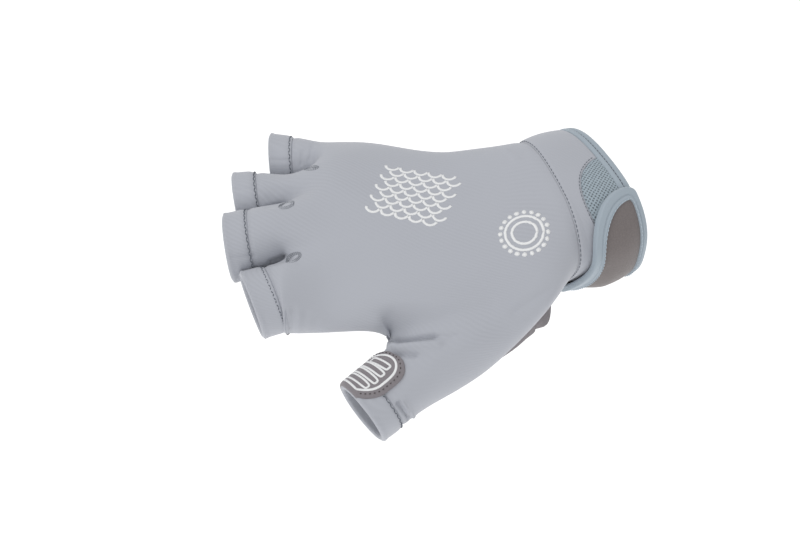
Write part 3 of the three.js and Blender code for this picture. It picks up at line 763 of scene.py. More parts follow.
def skin_piece(name, wall, proud=0, profile=plain):
    """A piece of the skin given its thickness. Its border sinks into the seam, its free
    edge is a half round, and a profile raises it by its distance from that edge."""
    points, normals, run, quads, ring = cut_piece(name)
    sunk = cloth().seam_dip * (1 - wave(ring / SEAM_RINGS))
    round_off = quarter_round(run / (wall / 2))
    middle = proud - wall / 2
    outer = points + normals * (middle + wall / 2 * round_off - sunk + profile(run))[:, None]
    inner = points + normals * (middle - wall / 2 * round_off)[:, None]
    uv = np.column_stack([points[:, 0], round_coordinate(points)])
    solid, faces = close_sheet(outer, inner, quads)
    return add_mesh(name, solid, faces, np.vstack([uv, uv]))


def grid_quads(rows, columns, wrap=False):
    """Quads of a grid of points in rows; wrap joins the last column to the first."""
    i = np.arange(rows - 1)[:, None] * columns
    j = np.arange(columns if wrap else columns - 1)[None, :]
    after = (j + 1) % columns
    return np.stack([i + j, i + columns + j, i + columns + after, i + after],
                    axis=2).reshape(-1, 4)


@lru_cache(maxsize=None)
def seam_correction():
    """How far the sewn skin lies from the plain cuff formula along the wrist seam, as an
    array over whole degrees round the wrist."""
    points, run, quads, labels = smooth_skin(cloth().smooth)
    cuff = np.unique(quads[labels == PIECES.index("cuff_band")])
    other = np.unique(quads[labels != PIECES.index("cuff_band")])
    shared = np.intersect1d(cuff, other)
    shared = shared[run[shared] > hand().cuff_length * NEAR_SEAM]
    _, side, up = section_axes(CUFF_TURN, CUFF_DIP)
    angles = np.degrees(np.arctan2(points[shared] @ up, points[shared] @ side))
    angles = angles % DEGREES_IN_TURN
    shift = points[shared] - cuff_formula(angles, seam_reach(angles), 0)
    order = np.argsort(angles)
    return interpolate(np.arange(DEGREES_IN_TURN + 1), angles[order], shift[order],
                       period=DEGREES_IN_TURN)


def cuff_radius(angle, breadth, depth):
    """Radius of the cuff's superellipse at an angle round the wrist."""
    c, s = np.cos(rad(angle)), np.sin(rad(angle))
    return ((np.abs(c) / breadth) ** SECTION_SQUARE
            + (np.abs(s) / depth) ** SECTION_SQUARE) ** (-1 / SECTION_SQUARE)


def seam_reach(angle):
    """The wrist seam's distance from the opening, more at the thumb side."""
    breadth, depth = cuff_halves(hand().cuff_length)
    side = cuff_radius(angle, breadth, depth) * np.cos(rad(angle))
    return hand().cuff_length - SEAM_LEAN * side / breadth


def cuff_formula(angle, distance, height):
    """A point over the cuff: a superellipse round its axis, pushed out by a height. Angle in
    degrees is 0 at the little finger side and 90 on the back; distance is from the opening."""
    out, side, up = section_axes(CUFF_TURN, CUFF_DIP)
    breadth, depth = cuff_halves(distance)
    c, s = np.cos(rad(angle)), np.sin(rad(angle))
    reach = cuff_radius(angle, breadth, depth) + height
    return (-np.multiply.outer(distance, out) + np.multiply.outer(c * reach, side)
            + np.multiply.outer(s * reach, up))


BEND_FROM = 0.55   # share of the cuff's length from which it bends to meet the seam


def cuff_place(angle, distance, height):
    """The cuff formula, bent to meet the sewn skin at the wrist seam."""
    bend = interpolate(np.mod(angle, DEGREES_IN_TURN), np.arange(DEGREES_IN_TURN + 1),
                       seam_correction())
    share = wave((distance / hand().cuff_length - BEND_FROM) / (1 - BEND_FROM))
    return cuff_formula(angle, distance, height) + bend * share[..., None]


def wrist_girth():
    """The length round the cuff's opening."""
    return math.pi * (hand().wrist_breadth + hand().wrist_depth) / 2


def on_cuff(angle, distance, height):
    """A point over the cuff, and its place on the cloth laid flat."""
    arc = angle / DEGREES_IN_TURN * wrist_girth()
    return cuff_place(angle, distance, height), np.stack([arc, distance], axis=-1)


def even(steps):
    """Shares from 0 to 1 in even steps."""
    return np.linspace(0, 1, steps + 1)


def grid_sheet(name, place, wall, low, u, v, wrap=False):
    """A closed sheet over a grid of every u and v: place(u, v, height) gives its points and
    their flat places. Its outer face is low + wall high. wrap joins the last v to the first,
    and turns the quads over."""
    u, v = np.meshgrid(u, v, indexing="ij")
    outer, flat = place(u, v, np.full(u.shape, low + wall))
    inner, _ = place(u, v, np.full(u.shape, low))
    quads = grid_quads(*u.shape, wrap)
    if wrap:
        quads = quads[:, ::-1]
    points, faces = close_sheet(outer.reshape(-1, 3), inner.reshape(-1, 3), quads)
    flat = flat.reshape(-1, 2)
    return add_mesh(name, points, faces, np.vstack([flat, flat]))


NET_MIDDLE = 136.5     # degrees round the wrist
NET_TURN = 51.3        # degrees that the net reaches to each side
NET_CLEAR = 4.5 * MM   # from its blunt end to the wrist seam


def net_reach(angle, inset=0):
    """How far the net insert reaches from the opening at an angle: half an ellipse."""
    turn = NET_TURN - inset * DEGREES_IN_TURN / wrist_girth()
    deep = hand().cuff_length - NET_CLEAR - inset
    share = np.clip((angle - NET_MIDDLE) / turn, -1, 1)
    return np.maximum(deep * np.sqrt(1 - share ** 2), 0)


CUFF_SINK = 1.2 * MM   # width over which the cuff sinks into the wrist seam
NET_SINK = 0.9 * MM    # and into the seams along the tape and the net
NET_SUNK = 0.25 * MM   # how far the net lies below the cuff's face


def build_cuff():
    """The cuff cloth: round the wrist, from the tape or the net's outline to the seam."""
    turns = np.unique(np.concatenate([
        np.arange(DEGREES_IN_TURN, dtype=float),
        NET_MIDDLE + NET_TURN * np.sin(np.linspace(-np.pi / 2, np.pi / 2, 121)),
    ]))
    low = np.maximum(cloth().binding_width, net_reach(turns))

    def place(u, angle, height):
        seam = seam_reach(angle)
        distance = low + (seam - low) * u
        sunk = cloth().seam_dip * (wave(1 - (seam - distance) / CUFF_SINK)
                                   + wave(1 - (distance - low) / NET_SINK))
        return on_cuff(angle, distance, height - sunk)

    wall = cloth().cuff_wall
    return grid_sheet("cuff_band", place, wall, -wall, even(36), turns, True)


def build_net():
    """The net insert: from the tape to half an ellipse, a grid of distance and angle."""
    wall = cloth().net_wall
    width = cloth().binding_width
    deep = hand().cuff_length - NET_CLEAR
    first = math.sqrt(1 - (width / deep) ** 2) * NET_TURN

    def place(u, v, height):
        angle = NET_MIDDLE + first * np.sin((v - 0.5) * np.pi)
        return on_cuff(angle, width + (net_reach(angle) - width) * u, height)

    return grid_sheet("cuff_mesh", place, wall, -NET_SUNK - wall, even(48), even(96))


TAB_TIP = 127            # degrees round the wrist
TAB_ROOT = 238
TAB_NOSE = 42            # degrees of rounded nose
TAB_CLEAR = 0.6 * MM     # from its inner edge to the wrist seam
TAB_RIM = 0.4 * MM       # its other edge, from the wrist edge
TAB_TIP_AT = 5 * MM      # where the nose ends, from the wrist edge
TAB_CORNER = 6           # degrees of the small corner beside the wrist edge
TAB_RIM_SHARE = 0.8      # the tape's width along the wrist edge, as a share
TAB_WALL = 1.7 * MM
TAB_INSET = 0.85         # how far the tab starts under its tape, as a share of the tape
TAB_CROWN = 0.35 * MM    # how much lower its edges are than its middle
TAB_CROWDING = 1.8       # power that draws the grid's columns to the tip
TAB_LEAN = 1.5 * MM      # how much wider the tab grows towards its root
TAB_LEAN_FROM = 165      # degrees round the wrist
TAB_LEAN_TO = 220
TAB_TAPE = 4.6 * MM      # width of its tape
TAPE_WALL = 2.4 * MM
TAPE_GAP = 0.5 * MM      # from the wrist binding's face to the tape
TAPE_LENGTH = 0.12       # of its flat cloth
TAPE_EDGE = 0.16         # its rolled edges and the groove, as shares of its width
TAPE_LINE = 0.62
TAPE_LINE_WIDTH = 0.07
TAPE_LINE_DEPTH = 0.45 * MM
TAPE_ROLL_OUT = 0.7      # how far its edges fall and rise, as shares of its wall
TAPE_ROLL_IN = 0.2


def tab_edges(angle, inset):
    """The tab's two edges at an angle, set in from its outline: distances from the wrist
    edge. The nose is a quarter ellipse, and its other corner a small one."""
    turn = inset * DEGREES_IN_TURN / wrist_girth()
    tip = TAB_TIP + turn

    def quarter(span):
        return np.sqrt(1 - np.maximum(0, 1 - (angle - tip) / span) ** 2)

    inner = (hand().cuff_length - TAB_CLEAR - inset
             + TAB_LEAN * wave((angle - TAB_LEAN_FROM) / (TAB_LEAN_TO - TAB_LEAN_FROM)))
    rim = TAB_RIM + inset * TAB_RIM_SHARE
    return (TAB_TIP_AT + (inner - TAB_TIP_AT) * quarter(TAB_NOSE - turn),
            TAB_TIP_AT + (rim - TAB_TIP_AT) * quarter(TAB_CORNER))


def tab_angle(step, inset):
    """Angles from the tip to the root, closer together at the tip; step is 0 to 1."""
    tip = TAB_TIP + inset * DEGREES_IN_TURN / wrist_girth()
    return tip + (TAB_ROOT - tip) * step ** TAB_CROWDING


def tab_line(step, inset):
    """Angle and distance along the tab's outline, set in by an inset: step runs from -1 at
    the root along the wrist edge to 0 at the tip, and on to 1 along the other edge."""
    angle = tab_angle(np.abs(step), inset)
    inner, rim = tab_edges(angle, inset)
    return angle, np.where(step < 0, rim, inner)


def tape_lift():
    """Height of the tape's underside over the cuff."""
    return cloth().hem_proud + TAPE_GAP


def build_tab():
    """The tab's face: a grid of angle along the wrist and share between its two edges,
    crowned a little in the middle."""
    inset = TAB_TAPE * TAB_INSET

    def place(u, v, height):
        angle = tab_angle(u, inset)
        inner, rim = tab_edges(angle, inset)
        crowned = height - TAB_CROWN * (1 - np.sin(np.pi * v)) ** 2
        return on_cuff(angle, inner + (rim - inner) * v, crowned)

    low = tape_lift() + (TAPE_WALL - TAB_WALL) / 2
    return grid_sheet("closure_tab", place, TAB_WALL, low, even(120), even(40))


def build_tab_tape():
    """The tape round the tab: a grid along its outline and across its width. Its section is
    two soft ridges with a groove between them and rolled edges."""
    def place(u, v, height):
        step = u * 2 - 1
        (outer, edge_out), (inner, edge_in) = (tab_line(step, inset) for inset in (0, TAB_TAPE))
        angle = outer + (inner - outer) * v
        distance = edge_out + (edge_in - edge_out) * v
        high = height > tape_lift() + TAPE_WALL / 2
        roll = TAPE_WALL * (1 - quarter_round(np.minimum(v, 1 - v) / TAPE_EDGE))
        groove = TAPE_LINE_DEPTH * bell((v - TAPE_LINE) / TAPE_LINE_WIDTH)
        shaped = height - np.where(high, TAPE_ROLL_OUT * roll + groove, -TAPE_ROLL_IN * roll)
        return (cuff_place(angle, distance, shaped),
                np.stack([u * TAPE_LENGTH, v * TAB_TAPE], axis=-1))

    return grid_sheet("tab_binding", place, TAPE_WALL, tape_lift(), even(320), even(24))


PATCH_NEAR_END = 13 * MM     # from the hem's edge to its end, on the palm side
PATCH_END_SLANT = 9.8 * MM   # how much further its end lies on the back
PATCH_SLANT_FROM = -40       # degrees from its middle where the slant starts
PATCH_SLANT_TURN = 102       # degrees that it goes on for
PATCH_WALL = 1.1 * MM
PATCH_MIDDLE = 34            # degrees round the thumb: 0 faces the index finger
PATCH_SPREAD = 84            # degrees from its middle to each side
PATCH_WIDEST = 10 * MM       # from the hem's edge to its widest place
PATCH_ROUND = 1.35           # length of its half ellipse, as a share of that
PATCH_SQUARE = 0.5           # power that squares its other end
PATCH_INSET = 0.7            # how much of an inset counts there
PATCH_EDGE = 0.3 * MM        # from the hem's edge to where the half ellipse is cut off
PATCH_LAST = 88              # degrees round the outline where its grid starts
PATCH_ROLL = 0.8             # how far its edge falls, as a share of its wall
PATCH_ROLL_TURN = 6          # degrees over which it falls at its sides
PATCH_ROLL_ENDS = 14         # it falls at its ends over one part in so many
PATCH_LIFT = 0.6             # height of its underside, as a share of how proud a hem is
THUMB_NEAR = (-4 * MM, 30 * MM)   # the stretch of the thumb's skin that it is laid on
THUMB_REACH = 0.8            # how far from its axis that skin lies at most, as a share of
                             # the thumb's width
SKIN_REACH = 0.9 * MM        # how far off the skin's points count in a mean of them


@lru_cache(maxsize=None)
def thumb_skin():
    """The fine skin's points near the thumb: their angles round its axis in degrees, their
    distances from the hem's edge and their radii."""
    points = smooth_skin(cloth().smooth)[0]
    along, across, up = limb_axes(THUMB_TURN, THUMB_FALL)
    local = points - thumb_point(0)
    back = -local @ along
    a, b = local @ across, local @ up
    radius = np.hypot(a, b)
    low, high = THUMB_NEAR
    near = (back > low) & (back < high) & (radius < hand().thumb_width * THUMB_REACH)
    angle = np.degrees(np.arctan2(b, a)) % DEGREES_IN_TURN
    return angle[near], back[near], radius[near]


def thumb_arc(turn):
    """The length round the thumb of a turn in degrees."""
    return rad(turn) * hand().thumb_width / 2


def thumb_radius(angle, distance):
    """The skin's radius there: a mean of the skin's nearby points, each by a bell curve."""
    known_angle, known_back, known_radius = thumb_skin()
    half = DEGREES_IN_TURN / 2
    turn = (angle.reshape(-1, 1) - known_angle + half) % DEGREES_IN_TURN - half
    gap = distance.reshape(-1, 1) - known_back
    weight = np.exp(-(thumb_arc(turn) ** 2 + gap ** 2) / SKIN_REACH ** 2) + LEAST_WEIGHT
    return ((weight @ known_radius) / weight.sum(axis=1)).reshape(angle.shape)


def patch_swing(swing):
    """Cosine and sine round the patch's outline, squared off away from the hem."""
    sine = np.sin(swing)
    square = np.where(sine > 0, PATCH_SQUARE, 1)
    return keep_sign(np.cos(swing), square), keep_sign(sine, square)


def patch_outline(swing, inset=0):
    """The patch's outline: degrees round the thumb from its middle, and distance from the
    hem's edge. It is half an ellipse towards the hem, and a squarer, slanting end beyond its
    widest place."""
    across, share = patch_swing(swing)
    turn = (PATCH_SPREAD - np.degrees(inset / (hand().thumb_width / 2))) * across
    return turn, patch_distance(turn, share, inset)


def patch_distance(turn, share, inset=0):
    """Distance from the hem's edge at a share of the way from the widest place to an end."""
    slant = PATCH_END_SLANT * wave((turn - PATCH_SLANT_FROM) / PATCH_SLANT_TURN)
    far = PATCH_NEAR_END + slant - inset * PATCH_INSET
    return PATCH_WIDEST + np.where(share > 0, far - PATCH_WIDEST,
                                   PATCH_WIDEST * PATCH_ROUND - inset) * share


def patch_point(angle, distance, height):
    """A point over the thumb's skin, at an angle round the thumb and a distance along it."""
    _, across, up = limb_axes(THUMB_TURN, THUMB_FALL)
    radius = thumb_radius(np.mod(angle, DEGREES_IN_TURN), distance) + height
    return (thumb_point(distance) + (radius * np.cos(rad(angle)))[..., None] * across
            + (radius * np.sin(rad(angle)))[..., None] * up)


def patch_low():
    """Height of the patch's underside over the thumb's skin."""
    return cloth().hem_proud * PATCH_LIFT


def build_patch():
    """The grip patch: a grid over its outline, cut off at the hem's edge, with a soft
    rounded edge."""
    first = -math.asin((PATCH_WIDEST - PATCH_EDGE) / (PATCH_WIDEST * PATCH_ROUND))
    last = rad(PATCH_LAST)

    def place(u, v, height):
        across, share = patch_swing(last + (first - last) * u)
        spread = PATCH_SPREAD * across
        turn = spread * (2 * v - 1)
        distance = patch_distance(turn, share)
        sides = np.minimum(v, 1 - v) * np.maximum(spread, 1) / PATCH_ROLL_TURN
        ends = np.minimum(u, 1 - u) * PATCH_ROLL_ENDS
        roll = (1 - quarter_round(np.minimum(sides, ends))) * PATCH_WALL
        high = height > patch_low() + PATCH_WALL / 2
        rolled = height - np.where(high, roll * PATCH_ROLL, 0)
        return (patch_point(PATCH_MIDDLE + turn, distance, rolled),
                np.stack([thumb_arc(turn), distance], axis=-1))

    return grid_sheet("thumb_patch", place, PATCH_WALL, patch_low(), even(90), even(90))


def on_patch(flat):
    """Places and normals on top of the patch: flat points are an arc round the thumb from
    the patch's middle, and a distance from the hem's edge."""
    _, across, up = limb_axes(THUMB_TURN, THUMB_FALL)
    angle = PATCH_MIDDLE + np.degrees(flat[:, 0] / (hand().thumb_width / 2))
    normals = np.cos(rad(angle))[:, None] * across + np.sin(rad(angle))[:, None] * up
    return patch_point(angle, flat[:, 1], patch_low() + PATCH_WALL), normals


def patch_line(beyond, count, inset):
    """A flat line inside the patch's outline, round its far end, which starts and ends some
    degrees beyond its widest place."""
    turn, distance = patch_outline(np.linspace(rad(-beyond), rad(180 + beyond), count), inset)
    return np.column_stack([thumb_arc(turn), distance])


def even_path(path, count):
    """A flat path again, with its points spread evenly along its length."""
    along = distances(path)
    return interpolate(np.linspace(0, along[-1], count), along, path)


# The printed bars of the patch lie round the thumb. All these are in millimetres, and the
# reaches are from the patch's middle.
BAR_MIDDLES = (5.1, 8.5, 11.9, 15.2)   # from the hem's edge
BAR_HALF = 1.15          # half width of a bar
BAR_SLANT = 0.9          # how much further from the hem than its middle a bar ends on the back
BAR_LONGEST = 9          # where a bar reaches furthest on the back, from the hem's edge
BAR_BACK_REACH = 13.6    # its reach there
BAR_BACK_LESS = 0.2      # how much less it is for each millimetre from there
BAR_FULL = 8.5           # up to where the bars reach furthest on the palm side
BAR_PALM_REACH = 10.8    # their reach there
BAR_PALM_LESS = 2.15     # how much less it is for each millimetre beyond that
BAR_SQUARE = 0.3         # power that squares a bar's ends
BAR_LINE = 0.38          # half width of its printed outline
BORDER_LINE = 0.42       # half width of the printed line inside the patch's outline
BORDER_IN = 3            # from the patch's outline to that line


def patch_print():
    """Generic marks on the patch: a line inside its outline, and outlined bars round the
    thumb."""
    border = patch_line(46, 121, BORDER_IN * MM)
    border = even_path(np.vstack([border, border[:1]]), 181)
    turn = np.linspace(0, 2 * np.pi, 65)
    across = keep_sign(np.cos(turn), BAR_SQUARE)
    along = keep_sign(np.sin(turn), BAR_SQUARE) * BAR_HALF + across * BAR_SLANT
    bars = []
    for middle in BAR_MIDDLES:
        high = BAR_BACK_REACH - abs(middle - BAR_LONGEST) * BAR_BACK_LESS
        low = max(middle - BAR_FULL, 0) * BAR_PALM_LESS - BAR_PALM_REACH
        bar = np.column_stack([across * (high - low) / 2 + (high + low) / 2, middle + along])
        bars.append(even_path(bar * MM, 121))
    bars = np.stack(bars)
    return ((border[None], np.full((1, len(border)), BORDER_LINE * MM)),
            (bars, np.full(bars.shape[:2], BAR_LINE * MM)))


def tube_quads(tubes, steps, sides):
    """Quads of many closed tubes: their sides, and two quads across each end of a tube with
    six sides, or one across each end of a tube with four."""
    k = np.arange(sides)
    rows = np.arange(steps - 1)[:, None] * sides
    after = (k + 1) % sides
    wall = np.stack([rows + k, rows + after, rows + sides + after, rows + sides + k],
                    axis=2).reshape(-1, 4)
    cap = np.array([(0, 3, 2, 1), (0, 5, 4, 3)][:sides // 2 - 1])
    end = cap[:, ::-1] + (steps - 1) * sides
    one = np.vstack([wall, cap, end])
    return (one + np.arange(tubes)[:, None, None] * steps * sides).reshape(-1, 4)


STEP_AHEAD = 0.1 * MM   # how far off a path's direction is taken


def along_path(path, normals, at):
    """Places, normals and directions on a path at distances along it."""
    along = distances(path)
    ahead = (interpolate(np.minimum(at + STEP_AHEAD, along[-1]), along, path)
             - interpolate(np.maximum(at - STEP_AHEAD, 0), along, path))
    return interpolate(at, along, path), unit(interpolate(at, along, normals)), unit(ahead)


STITCH_STEPS = 7      # rings of points along a stitch
STITCH_SIDES = 6
STITCH_ARCH = 0.45    # height of a stitch's middle line, as a share of the thread
STITCH_SUNK = 0.05    # how far its ends lie below the cloth, in the same way
STITCH_TAPER = 0.4    # its thickness at the ends, as a share of that in the middle


def stitch_tubes(path, normals, pitch, thickness, zigzag=0, fill=0.8):
    """Points of a row of stitches, as stitches, steps, sides and places. Each is a thin
    tube along the path that arches a little over the cloth and tapers at both ends, and it
    fills a share of the pitch. With a zigzag, each leans across the row, to one side and the
    other in turn."""
    length = distances(path)[-1]
    count = max(int(round(length / pitch)), 1)
    pitch = length / count
    share = np.linspace(0, 1, STITCH_STEPS)
    number = np.arange(count)[:, None]
    at = (number + (1 - fill) / 2 + share * fill) * pitch
    middle, facing, ahead = along_path(path, normals, at)
    aside = np.cross(facing, ahead)
    arch = np.sin(np.pi * share)
    sway = zigzag * (share - 0.5) * 2 * np.where(number % 2, 1, -1)
    middle = (middle + facing * (thickness * (STITCH_ARCH * arch - STITCH_SUNK))[:, None]
              + aside * sway[..., None])
    radius = thickness / 2 * (STITCH_TAPER + (1 - STITCH_TAPER) * arch)
    turn = np.arange(STITCH_SIDES) / STITCH_SIDES * 2 * np.pi
    return (middle[:, :, None]
            + aside[:, :, None] * (np.cos(turn) * radius[:, None])[None, ..., None]
            + facing[:, :, None] * (np.sin(turn) * radius[:, None])[None, ..., None])


def sew(name, rows, slot):
    """One object of all the stitches of several rows."""
    tubes = np.concatenate(rows)
    quads = tube_quads(len(tubes), STITCH_STEPS, STITCH_SIDES)
    piece = add_mesh(name, tubes.reshape(-1, 3), quads)
    finish_piece(piece, slot)


def contour(name, level):
    """Where a piece's cloth lies a set distance from its free edge: places and normals in
    order round the limb, back to the first."""
    points, normals, run, quads, _ = cut_piece(name)
    a, b = np.unique(np.sort(quad_sides(quads), axis=1), axis=0).T
    crossing = (run[a] < level) != (run[b] < level)
    a, b = a[crossing], b[crossing]
    share = ((level - run[a]) / (run[b] - run[a]))[:, None]
    found = points[a] + (points[b] - points[a]) * share
    facing = normals[a] + (normals[b] - normals[a]) * share
    spread = found - found.mean(axis=0)
    _, _, axes = np.linalg.svd(spread, full_matrices=False)
    order = np.argsort(np.arctan2(spread @ axes[1], spread @ axes[0]))
    order = np.append(order, order[0])
    return found[order], facing[order]


SIGHT_WIDTH = 0.6 * MM   # how far from a sight line the skin's points count
SIGHT_DEPTH = 2 * MM     # and how much further than the nearest
SIGHT_LEAST = 0.1        # least cosine between the cloth's normal and the sight line


def find_on_skin(flat, across, up, towards):
    """Places and normals of the cloth under flat points, seen along one direction: means
    of the skin's points near each sight line, by a bell curve, the nearest to the viewer
    counting most."""
    points, _, quads, _ = smooth_skin(cloth().smooth)
    normals = point_normals(points, quads)
    seen = np.column_stack([points @ across, points @ up])
    low, high = flat.min(axis=0) - SIGHT_DEPTH, flat.max(axis=0) + SIGHT_DEPTH
    near = ((seen > low) & (seen < high)).all(axis=1) & (normals @ towards > SIGHT_LEAST)
    seen, points, normals = seen[near], points[near], normals[near]
    gap = ((flat[:, None] - seen[None]) ** 2).sum(axis=2) / SIGHT_WIDTH ** 2
    depth = points @ towards
    weight = np.exp(-gap) * np.exp((depth - depth.max()) / SIGHT_DEPTH) + LEAST_WEIGHT
    weight /= weight.sum(axis=1, keepdims=True)
    return weight @ points, unit(weight @ normals)


def lay_strokes(paths, halves, place, lift):
    """Flat strokes laid on cloth, as strokes, steps, 4 and places. paths are flat points in
    metres, halves the half widths there, and place gives points and normals of the cloth."""
    ahead = unit(np.gradient(paths, axis=1))
    aside = np.stack([-ahead[..., 1], ahead[..., 0]], axis=-1) * halves[..., None]
    flat = np.stack([paths - aside, paths + aside], axis=2)
    points, normals = place(flat.reshape(-1, 2))
    points, normals = (v.reshape(*flat.shape[:3], 3) for v in (points, normals))
    top, low = points + normals * lift, points - normals * lift
    return np.stack([low[:, :, 0], low[:, :, 1], top[:, :, 1], top[:, :, 0]], axis=2)


def print_strokes(name, groups):
    """One object of all the printed strokes of several groups."""
    points = [group.reshape(-1, 3) for group in groups]
    first = np.cumsum([0] + [len(block) for block in points])
    quads = [tube_quads(len(group), group.shape[1], 4) + start
             for group, start in zip(groups, first)]
    piece = add_mesh(name, np.vstack(points), np.vstack(quads))
    finish_piece(piece, "print")


def add_node(tree, kind, settings=None, **links):
    """Adds a shader node, sets its properties and sockets, and links sockets that are given
    as another node's output."""
    node = tree.nodes.new(kind)
    for key, value in (settings or {}).items():
        setattr(node, key, value)
    for key, value in links.items():
        numbered = key[0] == "i" and key[1:].isdigit()
        socket = node.inputs[int(key[1:]) if numbered else key.replace("_", " ")]
        if isinstance(value, bpy.types.NodeSocket):
            tree.links.new(value, socket)
        else:
            socket.default_value = value
    return node


def new_material(name, base, roughness, sheen):
    """A material whose one shader has a plain base colour, roughness and sheen."""
    material = bpy.data.materials.new(name)
    material.use_nodes = True
    tree = material.node_tree
    shader = tree.nodes["Principled BSDF"]
    shader.inputs["Base Color"].default_value = (*base, 1)
    shader.inputs["Roughness"].default_value = roughness
    shader.inputs["Sheen Weight"].default_value = sheen
    material.diffuse_color = (*base, 1)
    return material, tree, shader


def shade(rgb, factor):
    """A colour made lighter or darker by a factor, with its alpha."""
    return (*(min(1, c * factor) for c in rgb), 1)


def tint_by(tree, shader, value, low, high):
    """Mixes the shader's base colour from two colours by a value."""
    mix = add_node(tree, "ShaderNodeMix", {"data_type": "RGBA"}, i0=value, i6=low, i7=high)
    tree.links.new(mix.outputs[2], shader.inputs["Base Color"])


def raise_by(tree, shader, value, strength, distance):
    """Bumps the shader's surface by a value."""
    bump = add_node(tree, "ShaderNodeBump", Strength=strength, Distance=distance, Height=value)
    tree.links.new(bump.outputs[0], shader.inputs["Normal"])


RIB_SPACING = 1.2 * MM
RIB_SLANT = 113   # degrees from the wave's own direction to across the hand
NET_SLANT = 35    # degrees that the rows of holes lie from round the wrist


def stretch_material():
    """Warp-knitted polyester and elastane: fine slanting ribs and a soft sheen."""
    material, tree, shader = new_material("warp knitted stretch cloth", colours().stretch,
                                          0.72, 0.25)
    where = add_node(tree, "ShaderNodeTexCoord").outputs["Object"]
    flat = add_node(tree, "ShaderNodeUVMap", {"uv_map": "cloth"}).outputs["UV"]
    turned = add_node(tree, "ShaderNodeMapping", Vector=flat, Rotation=(0, 0, rad(RIB_SLANT)))
    ribs = add_node(tree, "ShaderNodeTexWave", {"wave_profile": "SIN"}, Vector=turned.outputs[0],
                    Scale=0.314 / RIB_SPACING, Distortion=1.6, Detail=1.0, Detail_Scale=0.8)
    grain = add_node(tree, "ShaderNodeTexNoise", Vector=where, Scale=2600.0, Detail=2.0)
    patchy = add_node(tree, "ShaderNodeTexNoise", Vector=where, Scale=30.0, Detail=1.0)
    strength = add_node(tree, "ShaderNodeMapRange", Value=patchy.outputs["Fac"],
                        From_Min=0.38, From_Max=0.62, To_Min=0.2, To_Max=1.0)
    rib = add_node(tree, "ShaderNodeMath", {"operation": "MULTIPLY"}, i0=ribs.outputs["Fac"],
                   i1=strength.outputs[0])
    tint_by(tree, shader, rib.outputs[0], shade(colours().stretch, 1.015),
            shade(colours().stretch, 0.965))
    height = add_node(tree, "ShaderNodeMath", {"operation": "MULTIPLY_ADD"},
                      i0=grain.outputs["Fac"], i1=0.6, i2=rib.outputs[0])
    raise_by(tree, shader, height.outputs[0], 0.25, 0.12 * MM)
    return material


def napped_material(name, base, roughness, sheen, scale, detail, strength, distance,
                    tints=()):
    """A cloth with a fine even nap or grain: noise that raises it, and that darkens and
    lightens its colour where tints are given."""
    material, tree, shader = new_material(name, base, roughness, sheen)
    where = add_node(tree, "ShaderNodeTexCoord").outputs["Object"]
    nap = add_node(tree, "ShaderNodeTexNoise", Vector=where, Scale=scale, Detail=detail)
    if tints:
        tint_by(tree, shader, nap.outputs["Fac"], *(shade(base, tint) for tint in tints))
    raise_by(tree, shader, nap.outputs["Fac"], strength, distance)
    return material


def net_material():
    """Knitted net: rows of small round holes, set over each other in turn. The holes are painted
    dark, as painted shade of the hollow cuff behind them.
    """
    material, tree, shader = new_material("knitted net", colours().net, 0.75, 0.1)
    where = add_node(tree, "ShaderNodeUVMap", {"uv_map": "cloth"}).outputs["UV"]
    turned = add_node(tree, "ShaderNodeMapping", Vector=where, Rotation=(0, 0, rad(NET_SLANT)))
    holes = add_node(tree, "ShaderNodeTexVoronoi", Vector=turned.outputs[0], Scale=900.0,
                     Randomness=0.15)
    hole_shade_mask = add_node(tree, "ShaderNodeMapRange", Value=holes.outputs["Distance"],
                    From_Min=0.2, From_Max=0.38)
    # painted shade: the holes take 0.4 of the net's colour, for the dark of the glove's inside
    # seen through them
    tint_by(tree, shader, hole_shade_mask.outputs[0], shade(colours().net, 0.4), shade(colours().net, 1.12))
    raise_by(tree, shader, hole_shade_mask.outputs[0], 0.6, 0.3 * MM)
    return material


def plain_material(*look):
    """A material with no texture: its name, base colour, roughness and sheen."""
    return new_material(*look)[0]


@lru_cache(maxsize=None)
def finish_of(slot):
    """The material for a slot of the record, a thread, the painted shade of the needle holes or
    a print, made once.
    """
    # painted shade: the patch's needle holes are near black, 0.3 of the loop cloth's colour, for
    # the shade inside them
    dark = shade(colours().loop, 0.3)[:3]
    pale = shade(colours().tape, 1.25)[:3]
    makers = {
        "stretch_cloth": stretch_material,
        "grip_cloth": partial(napped_material, "microfibre grip cloth", colours().grip,
                              0.9, 0.15, 3200.0, 3.0, 0.3, 0.2 * MM, (0.8, 1.15)),
        "binding_tape": partial(napped_material, "folded elastic tape", colours().tape,
                                0.6, 0.2, 2400.0, 2.0, 0.3, 0.2 * MM),
        "net": net_material,
        "loop_cloth": partial(napped_material, "brushed loop cloth", colours().loop,
                              0.95, 0.3, 1700.0, 4.0, 0.5, 0.3 * MM, (0.75, 1.2)),
        "thread": partial(plain_material, "spun polyester thread", colours().thread, 0.7, 0.2),
        "pale_thread": partial(plain_material, "pale polyester thread", pale, 0.7, 0.2),
        "holes": partial(plain_material, "painted shade in needle holes", dark, 0.9, 0),
        "print": partial(plain_material, "heat transfer print", colours().print, 0.55, 0),
    }
    return makers[slot]()


class GLOVE_OT_panels(Operator):
    """Sews the back and palm panels"""

    bl_idname = "glove.panels"
    bl_label = "Back and palm panels"

    def execute(self, context):
        back = skin_piece("back_panel", cloth().back_wall)
        finish_piece(back, "stretch_cloth", "back_panel")
        palm = skin_piece("palm_panel", cloth().palm_wall)
        finish_piece(palm, "grip_cloth", "palm_panel")
        return {"FINISHED"}


class GLOVE_OT_hems(Operator):
    """Turns the hems of the fingers and the thumb"""

    bl_idname = "glove.hems"
    bl_label = "Hems"

    def execute(self, context):
        for name in HEMS:
            hem = skin_piece(name, cloth().hem_wall, cloth().hem_proud, hem_roll)
            finish_piece(hem, "stretch_cloth", name)
        return {"FINISHED"}


